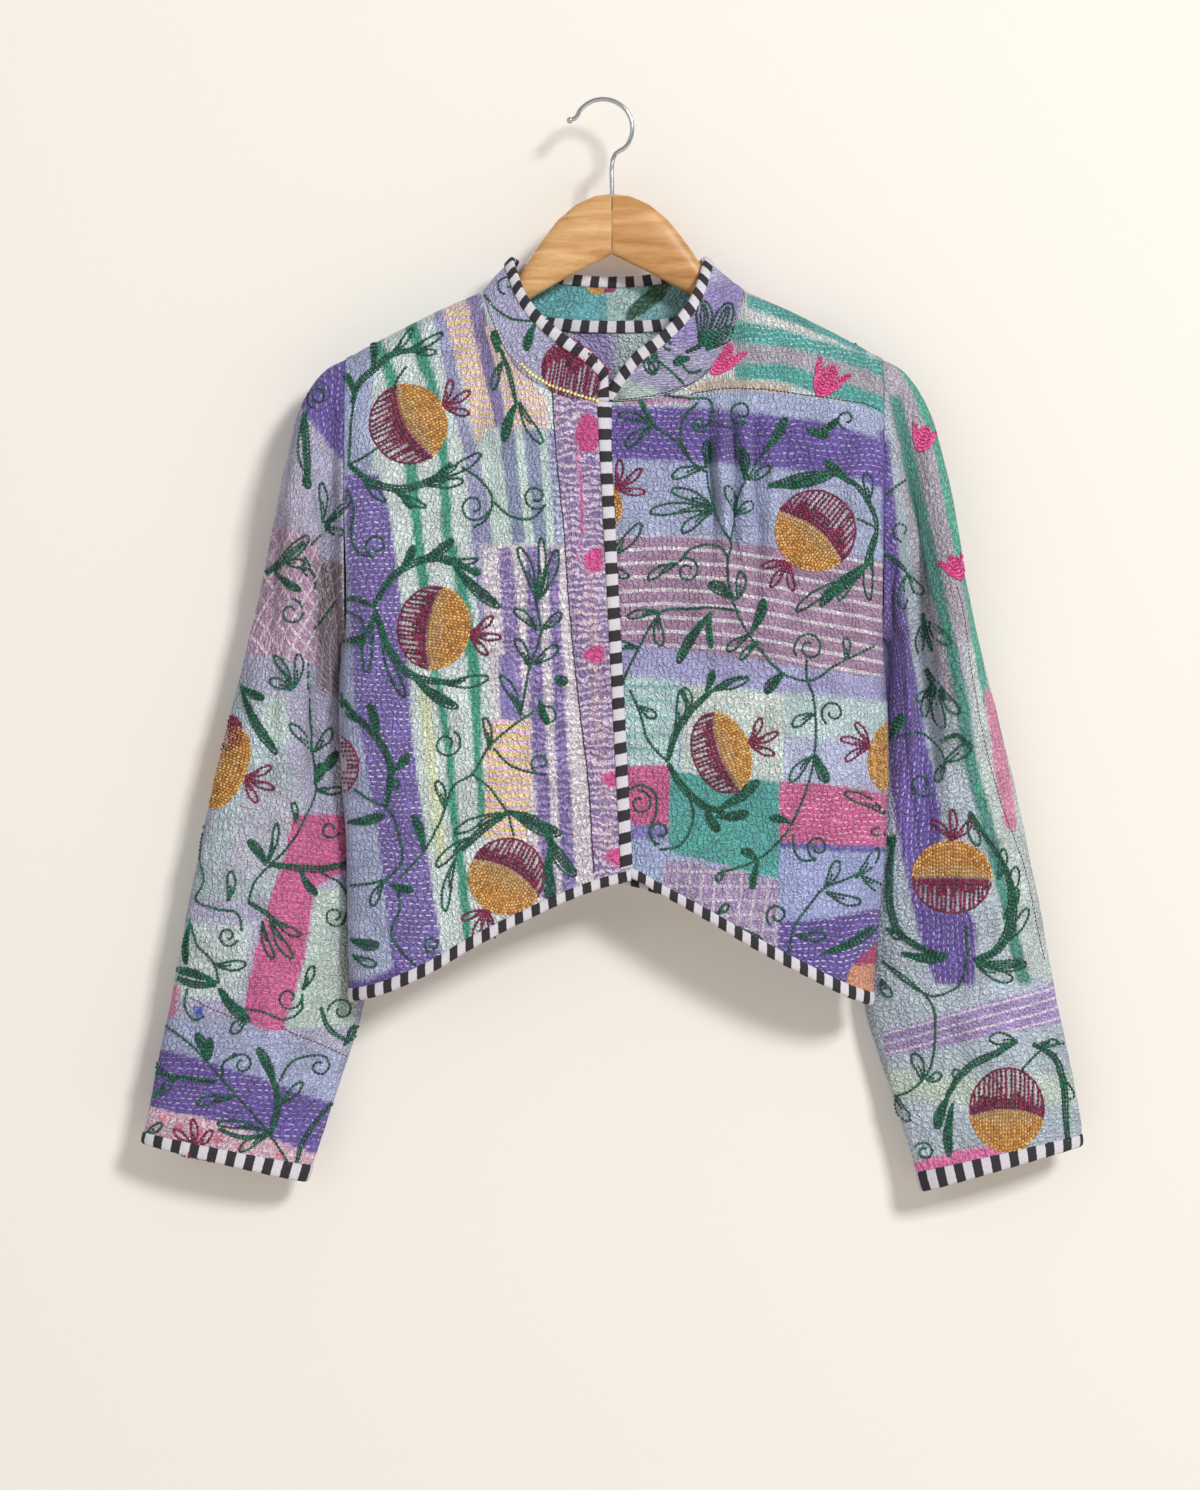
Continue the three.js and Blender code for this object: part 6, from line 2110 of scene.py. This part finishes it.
@dataclass(frozen=True)
class StripedPoplin:
    """Plain-woven cotton with black and greyish-white stripes, cut across them: matte, closely woven."""

    dark: str = "#28252b"
    light: str = "#d3cfd7"

    def build(self) -> bpy.types.Material:
        """Makes the material.

        Returns:
            The material.
        """
        material, t = blank("striped woven cotton binding")
        along = add(t, "SeparateXYZ", {0: add(t, "UVMap", uv_map="strip")})
        place = add(t, "TexCoord", out="Object")
        fray = add(t, "TexNoise", {"Vector": place, "Scale": 500.0, "Detail": 1.0})
        wobble = add(t, "Math", {0: fray, 1: 0.06, 2: -0.03}, operation="MULTIPLY_ADD")
        slant = add(t, "Math", {0: along.node.outputs[1], 1: 0.12, 2: wobble}, operation="MULTIPLY_ADD")
        phase = add(t, "Math", {0: along, 1: slant}, operation="ADD")
        phase = add(t, "Math", {0: phase}, operation="FRACT")
        edge = add(t, "Math", {0: phase, 1: 0.5}, operation="SUBTRACT")
        edge = add(t, "Math", {0: edge}, operation="ABSOLUTE")
        stripe = add(t, "MapRange", {0: edge, 1: 0.235, 2: 0.265, 3: 0.0, 4: 1.0})
        colour = add(t, "Mix", {0: stripe, 6: rgba(self.dark), 7: rgba(self.light)}, 2, data_type="RGBA")
        weave = add(t, "TexNoise", {"Vector": place, "Scale": 1500.0, "Detail": 2.0})
        shade = add(t, "MapRange", {0: weave, 1: 0.3, 2: 0.7, 3: 0.82, 4: 1.14})
        grey = add(t, "CombineColor", {0: shade, 1: shade, 2: shade})
        colour = add(t, "Mix", {0: 1.0, 6: colour, 7: grey}, 2, data_type="RGBA", blend_type="MULTIPLY")
        bump = add(t, "Bump", {"Strength": 0.4, "Distance": 0.0004, "Height": weave})
        shader = add(t, "BsdfPrincipled", {"Base Color": colour, "Roughness": 0.8, "Normal": bump})
        add(t, "OutputMaterial", {"Surface": shader})
        return material


@dataclass(frozen=True)
class OiledBeech:
    """Beech under a clear satin lacquer: warm honey wood with long soft grain and short dark flecks."""

    light: str = "#dfb37c"
    dark: str = "#c08a50"
    lean: float = 0.0

    def build(self) -> bpy.types.Material:
        """Makes the material.

        Returns:
            The material.
        """
        material, t = blank("beech, clear satin lacquer")
        place = add(t, "TexCoord", out="Object")
        turn = (0.0, self.lean, 0.0)
        grown = add(t, "Mapping", {"Vector": place, "Rotation": turn, "Scale": (9.0, 60.0, 95.0)})
        bands = add(t, "TexNoise", {"Vector": grown, "Scale": 1.4, "Detail": 4.0, "Distortion": 0.6})
        rings = add(t, "MapRange", {0: bands, 1: 0.34, 2: 0.66, 3: 0.0, 4: 1.0})
        colour = add(t, "Mix", {0: rings, 6: rgba(self.light), 7: rgba(self.dark)}, 2, data_type="RGBA")
        drawn = add(t, "Mapping", {"Vector": place, "Rotation": turn, "Scale": (120.0, 900.0, 1500.0)})
        flecks = add(t, "TexNoise", {"Vector": drawn, "Scale": 1.0, "Detail": 1.0})
        fleck = add(t, "MapRange", {0: flecks, 1: 0.6, 2: 0.72, 3: 0.0, 4: 0.35})
        colour = add(t, "Mix", {0: fleck, 6: colour, 7: rgba("#97612f")}, 2, data_type="RGBA")
        bump = add(t, "Bump", {"Strength": 0.12, "Distance": 0.0003, "Height": flecks})
        shader = add(t, "BsdfPrincipled", {"Base Color": colour, "Roughness": 0.42, "Normal": bump})
        add(t, "OutputMaterial", {"Surface": shader})
        return material


@dataclass(frozen=True)
class ChromedWire:
    """Drawn steel wire, chrome-plated and polished: bright and mirror-like with faint hairlines."""

    colour: str = "#c9ccd0"

    def build(self) -> bpy.types.Material:
        """Makes the material.

        Returns:
            The material.
        """
        material, t = blank("chromed steel wire")
        place = add(t, "TexCoord", out="Object")
        hair = add(t, "TexNoise", {"Vector": place, "Scale": 700.0, "Detail": 2.0})
        rough = add(t, "MapRange", {0: hair, 1: 0.3, 2: 0.7, 3: 0.12, 4: 0.24})
        shader = add(t, "BsdfPrincipled",
                     {"Base Color": rgba(self.colour), "Roughness": rough, "Metallic": 1.0})
        add(t, "OutputMaterial", {"Surface": shader})
        return material


@dataclass
class Hanger:
    """Two beech arms glued at the middle, with a wire hook let into the joint."""

    centre: float = 7.4
    gap: float = 0.15
    crown: float = 24.2
    wire: float = 4.0
    tip: tuple[float, float] = (-27.5, -15.5)
    knob: float = 2.9

    def across(self, side: Side, away: float) -> float:
        """Returns x at a distance out from the glued joint."""
        return mix(self.centre, CENTRE_X, min(away / 100, 1)) + side.value * (away + self.gap)

    def build_arm(self, side: Side) -> bpy.types.Object:
        """Extrudes one arm from the glued joint out to its end.

        Args:
            side: the wearer's side.

        Returns:
            The arm's object.
        """
        first = ARM[0]
        bpy.ops.object.select_all(action="DESELECT")
        middle = (first[1] + first[2]) / 2
        start = (self.across(side, 0) * MM, first[4] * MM, middle * MM)
        bpy.ops.mesh.primitive_circle_add(vertices=24, radius=MM, fill_type="NGON", location=start,
                                          rotation=(0, math.pi / 2, 0))
        arm = bpy.context.object
        bpy.ops.object.transform_apply(location=True, rotation=True, scale=True)
        bpy.ops.object.mode_set(mode="EDIT")
        bpy.ops.mesh.select_all(action="SELECT")
        tall = (first[1] - first[2]) / 2
        bpy.ops.transform.resize(value=(1, first[3], tall), center_override=start)
        bpy.ops.transform.edge_crease(value=0.9)
        here, half = Vector(start), np.array([first[3], tall])
        for row in ARM[1:]:
            there = Vector((self.across(side, row[0]) * MM, row[4] * MM, (row[1] + row[2]) / 2 * MM))
            size = np.array([row[3], (row[1] - row[2]) / 2])
            bpy.ops.mesh.extrude_region_move(TRANSFORM_OT_translate={"value": there - here})
            bpy.ops.transform.resize(value=(1, size[0] / half[0], size[1] / half[1]), center_override=there)
            here, half = there, size
        bpy.ops.mesh.select_all(action="SELECT")
        bpy.ops.mesh.normals_make_consistent(inside=False)
        bpy.ops.object.mode_set(mode="OBJECT")
        arm.name = f"arm_{side.name.lower()}_wood"
        round_off = arm.modifiers.new("round", "SUBSURF")
        round_off.levels = round_off.render_levels = 2
        bpy.ops.object.modifier_apply(modifier="round")
        bpy.ops.object.shade_smooth_by_angle(angle=math.radians(40))
        return arm

    def build_hook(self) -> bpy.types.Object:
        """Bends the wire from its tip over the crown and down into the wood.

        Returns:
            The hook's object.
        """
        middle = self.wire / 2 - self.crown
        points = [(self.tip[0], 0, self.tip[1])]
        for degrees in range(158, -39, -14):
            angle = math.radians(degrees)
            points.append((self.crown * math.cos(angle), 0, middle + self.crown * math.sin(angle)))
        points.append((self.centre + 2.6, 0, -44))
        points += [(self.centre, y, z) for y, z in ((-0.5, -53), (-1, -70.5), (-1, -90))]
        curve = bpy.data.curves.new("hook_wire", "CURVE")
        curve.dimensions = "3D"
        curve.bevel_depth = self.wire / 2 * MM
        curve.bevel_resolution = 5
        curve.resolution_u = 6
        curve.use_fill_caps = True
        spline = curve.splines.new("BEZIER")
        spline.bezier_points.add(len(points) - 1)
        for knot, point in zip(spline.bezier_points, points):
            knot.co = Vector(point) * MM
            knot.handle_left_type = knot.handle_right_type = "AUTO"
        hook = bpy.data.objects.new("hook_wire", curve)
        bpy.context.collection.objects.link(hook)
        bpy.ops.object.select_all(action="DESELECT")
        bpy.context.view_layer.objects.active = hook
        hook.select_set(True)
        bpy.ops.object.convert(target="MESH")
        tip = (self.tip[0] * MM, 0, self.tip[1] * MM)
        bpy.ops.object.select_all(action="DESELECT")
        bpy.ops.mesh.primitive_uv_sphere_add(segments=20, ring_count=14, radius=self.knob * MM, location=tip)
        knob = bpy.context.object
        bpy.ops.object.transform_apply(location=True, rotation=True, scale=True)
        hook.select_set(True)
        knob.select_set(True)
        bpy.context.view_layer.objects.active = hook
        bpy.ops.object.join()
        bpy.ops.object.shade_smooth_by_angle(angle=math.radians(50))
        return hook

    def dress(self) -> None:
        """Builds all three pieces, finishes them and sets them on the frame."""
        # the wearer's left arm gets a darker copy of the same beech than the right
        woods = {Side.RIGHT: OiledBeech(lean=0.55), Side.LEFT: OiledBeech("#d4a36a", "#b37b42", -0.6)}
        for side in Side:
            arm = self.build_arm(side)
            arm.data.materials.append(woods[side].build())
            settle(arm, f"hanger_arm_{side.name.lower()}")
        hook = self.build_hook()
        hook.data.materials.append(ChromedWire().build())
        settle(hook, "hanger_hook")


def settle(obj: bpy.types.Object, node: str | None = None) -> None:
    """Sets a piece on the frame's body, hides the CAD node that it replaces, and logs how many faces it has.

    Args:
        obj: the piece.
        node: the CAD node that it replaces, if any.
    """
    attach(obj, "root")
    if node:
        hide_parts(node)
    log.info("%s: %d faces", obj.name, len(obj.data.polygons))


class Jacket:
    """The whole jacket: cloth, bindings and embroidery."""

    def __init__(self) -> None:
        """Readies the surfaces and the finishes."""
        self.fronts = {side: Panel(Face.FRONT, side) for side in Side}
        self.back = Panel(Face.BACK, None)
        self.sleeves = {side: Sleeve(side) for side in Side}
        self.collar = Collar()
        self.cotton = KanthaCotton().build()
        self.thread = StrandedCotton().build()
        self.poplin = StripedPoplin().build()

    def pieces(self) -> list[ClothPiece]:
        """Lists every cut piece with its print, embroidery and flat size.

        Returns:
            The pieces, in the order in which they are built.
        """
        back_print = mirrored_patches(PRINT_RIGHT) + mirrored_patches(PRINT_LEFT)
        both = [(SPRAYS_RIGHT, Face.BACK, True), (SPRAYS_LEFT, Face.BACK, True)]
        arm_right = [(SPRAYS_SLEEVE_RIGHT, face, False) for face in Face]
        arm_left = [(SPRAYS_SLEEVE_LEFT, face, False) for face in Face]
        slant = (((888, 0), (930, -13), (980, -29), (1030, -41), (1075, -52)), 1037, 10.5)
        front, sleeve = ((0.28, 0.60), 0.118), ((0.48, 0.70), 0.157)
        return [
            ClothPiece("front_right", self.fronts[Side.RIGHT], PALE, PRINT_RIGHT,
                       [(SPRAYS_RIGHT, Face.FRONT, False)], INSIDE_BODY, *front),
            ClothPiece("front_left", self.fronts[Side.LEFT], LAVENDER, PRINT_LEFT,
                       [(SPRAYS_LEFT, Face.FRONT, False)], INSIDE_BODY, *front),
            ClothPiece("back", self.back, LAVENDER, back_print, both, INSIDE_BODY, (0.50, 0.60), 0.24,
                       faces_viewer=False),
            ClothPiece("sleeve_right", self.sleeves[Side.RIGHT], "#b6b5cf", PRINT_SLEEVE_RIGHT,
                       arm_right, [], *sleeve),
            ClothPiece("sleeve_left", self.sleeves[Side.LEFT], "#b9c8d3", PRINT_SLEEVE_LEFT,
                       arm_left, [], *sleeve, lengthwise=True, rule=slant),
            ClothPiece("collar", self.collar, "#b5b2d3", PRINT_COLLAR, [(SPRAYS_COLLAR, Face.FRONT, False)],
                       INSIDE_COLLAR, (0.50, 0.08), 0.022, inside_ground="#8fc0c0"),
        ]

    def strips(self) -> dict[str, list[Binding]]:
        """Places every binding.

        Returns:
            The bindings, by the piece that each is sewn to.
        """
        out: dict[str, list[Binding]] = {}
        for side in Side:
            name, panel = side.name.lower(), self.fronts[side]
            down_edge = np.linspace(0, 1 - 9.2 / 390, 130)
            hem_a = np.linspace(0, panel.w[-1], 90)
            foot = 1 - BAND / 470
            out["front_" + name] = [
                strip_along("binding_front_" + name, panel, (0.0, down_edge), (BAND, down_edge), 18.4),
                strip_along("binding_hem_" + name, panel, (hem_a, 1.0), (hem_a, foot)),
            ]
            sleeve = self.sleeves[side]
            around = sleeve.spread()[0]
            out["sleeve_" + name] = [
                strip_along("binding_cuff_" + name, sleeve, (around, 16.0), (around, 15.0), closed=True)]
        hem_a = np.linspace(0, self.back.w[-1], 170)
        out["back"] = [strip_along("binding_hem_back", self.back, (hem_a, 1.0), (hem_a, 1 - BAND / 490))]
        along = np.linspace(0, self.collar.length, 190)
        top = strip_along("binding_collar", self.collar, (along, 3.0), (along, 2.0), 14.8)
        out["collar"] = [top, self.neck_tape()]
        return out

    def neck_tape(self) -> Binding:
        """Places the tape over the neck seam, inside the back.

        Returns:
            The tape.
        """
        a = np.linspace(self.collar.w[11], self.collar.w[17], 80)
        seam, above = self.collar.point(a, 0 * a), self.collar.point(a, 0 * a + 0.6)
        normal = self.collar.normal(a, 0 * a + 0.02)
        up = above - seam
        up /= np.linalg.norm(up, axis=1, keepdims=True)
        base = seam - normal * 1.9
        return Binding("neck_tape", base + up * 4.2, base - up * 4.2, normal * 0.28, normal * 0.28, 15.0)

    def dress(self) -> None:
        strips = self.strips()
        for piece in self.pieces():
            cloth, trim = piece.build()
            cloth.data.materials.append(self.cotton)
            settle(cloth, piece.name)
            for stitching in trim:
                stitching.data.materials.append(self.thread)
                settle(stitching)
            for binding in strips[piece.name]:
                strip = binding.build()
                strip.data.materials.append(self.poplin)
                settle(strip, binding.name)
                trim.append(strip)
            log.info("%s: %.4f square metres", piece.name, piece.measured)


@dataclass
class Studio:
    """A cream wall and floor, soft light from the upper right, and a camera straight on."""

    wall_y: float = 0.043
    floor_z: float = -1.75
    middle: tuple[float, float] = (-0.0025, -0.533)
    height: float = 1.222
    distance: float = 3.0
    cloth_y: float = -0.03

    def plane(self, name: str, location: tuple[float, float, float],
              rotation: tuple[float, float, float]) -> bpy.types.Object:
        """Adds one large plane, its place in its mesh.

        Args:
            name: its name.
            location: its middle.
            rotation: how it is turned.

        Returns:
            The plane.
        """
        bpy.ops.object.select_all(action="DESELECT")
        bpy.ops.mesh.primitive_plane_add(size=9, location=location, rotation=rotation)
        plane = bpy.context.object
        plane.name = name
        bpy.ops.object.transform_apply(location=True, rotation=True, scale=True)
        return plane

    def plaster(self, name: str, colour: str) -> bpy.types.Material:
        """Makes matte wall paint, seen through from behind.

        Args:
            name: the paint's name.
            colour: hex colour.

        Returns:
            The material.
        """
        material, t = blank(name)
        place = add(t, "TexCoord", out="Object")
        grit = add(t, "TexNoise", {"Vector": place, "Scale": 60.0, "Detail": 4.0})
        bump = add(t, "Bump", {"Strength": 0.03, "Distance": 0.002, "Height": grit})
        shader = add(t, "BsdfPrincipled", {"Base Color": rgba(colour), "Roughness": 0.95, "Normal": bump})
        behind = add(t, "NewGeometry", out="Backfacing")
        both = add(t, "MixShader", {0: behind, 1: shader, 2: add(t, "BsdfTransparent")})
        add(t, "OutputMaterial", {"Surface": both})
        return material

    def light(self, name: str, place: tuple[float, float, float], size: float, watts: float,
              colour: str) -> None:
        """Hangs a square soft light that looks at the jacket.

        Args:
            name: its name.
            place: where it hangs.
            size: its side, in metres.
            watts: its strength.
            colour: hex colour.
        """
        lamp = bpy.data.lights.new(name, "AREA")
        lamp.size = size
        lamp.energy = watts
        lamp.color = [float(c) for c in linear(colour)]
        obj = bpy.data.objects.new(name, lamp)
        bpy.context.collection.objects.link(obj)
        obj.location = place
        obj.rotation_euler = (Vector((0, 0, -0.5)) - Vector(place)).to_track_quat("-Z", "Y").to_euler()

    def build(self) -> None:
        """Sets wall, floor, lights, world and camera."""
        wall = self.plane("wall", (0, self.wall_y, self.floor_z + 4.5), (math.pi / 2, 0, 0))
        wall.data.materials.append(self.plaster("wall paint", "#efeae1"))
        floor = self.plane("floor", (0, self.wall_y - 4.5, self.floor_z), (0, 0, 0))
        floor.data.materials.append(self.plaster("floor paint", "#ece3d6"))
        # the wall neither shades the jacket's back nor keeps light from it
        wall.visible_diffuse = False
        wall.visible_shadow = False
        self.light("key", (2.95, -4.8, 2.25), 1.2, 272, "#ffffff")
        self.light("fill", (-2.2, -3.6, 0.3), 2.4, 14, "#f6f8ff")
        self.light("behind", (-1.4, 3.4, 1.2), 2.0, 90, "#ffffff")
        world = bpy.data.worlds.new("studio")
        world.use_nodes = True
        background = world.node_tree.nodes["Background"]
        background.inputs[0].default_value = rgba("#f8f8fb")
        background.inputs[1].default_value = 0.38
        bpy.context.scene.world = world
        bpy.context.scene.view_settings.view_transform = "Standard"
        camera = bpy.data.cameras.new("camera")
        camera.sensor_fit = "VERTICAL"
        camera.sensor_height = 36
        camera.lens = 36 * self.distance / self.height
        eye = bpy.data.objects.new("camera", camera)
        bpy.context.collection.objects.link(eye)
        eye.location = (self.middle[0], self.cloth_y - self.distance, self.middle[1])
        eye.rotation_euler = (math.pi / 2, 0, 0)
        bpy.context.scene.camera = eye


def main() -> None:
    """Builds everything in order."""
    logging.basicConfig(level=logging.INFO, format="%(message)s")
    Studio().build()
    Hanger().dress()
    Jacket().dress()


if __name__ == "__main__":
    main()
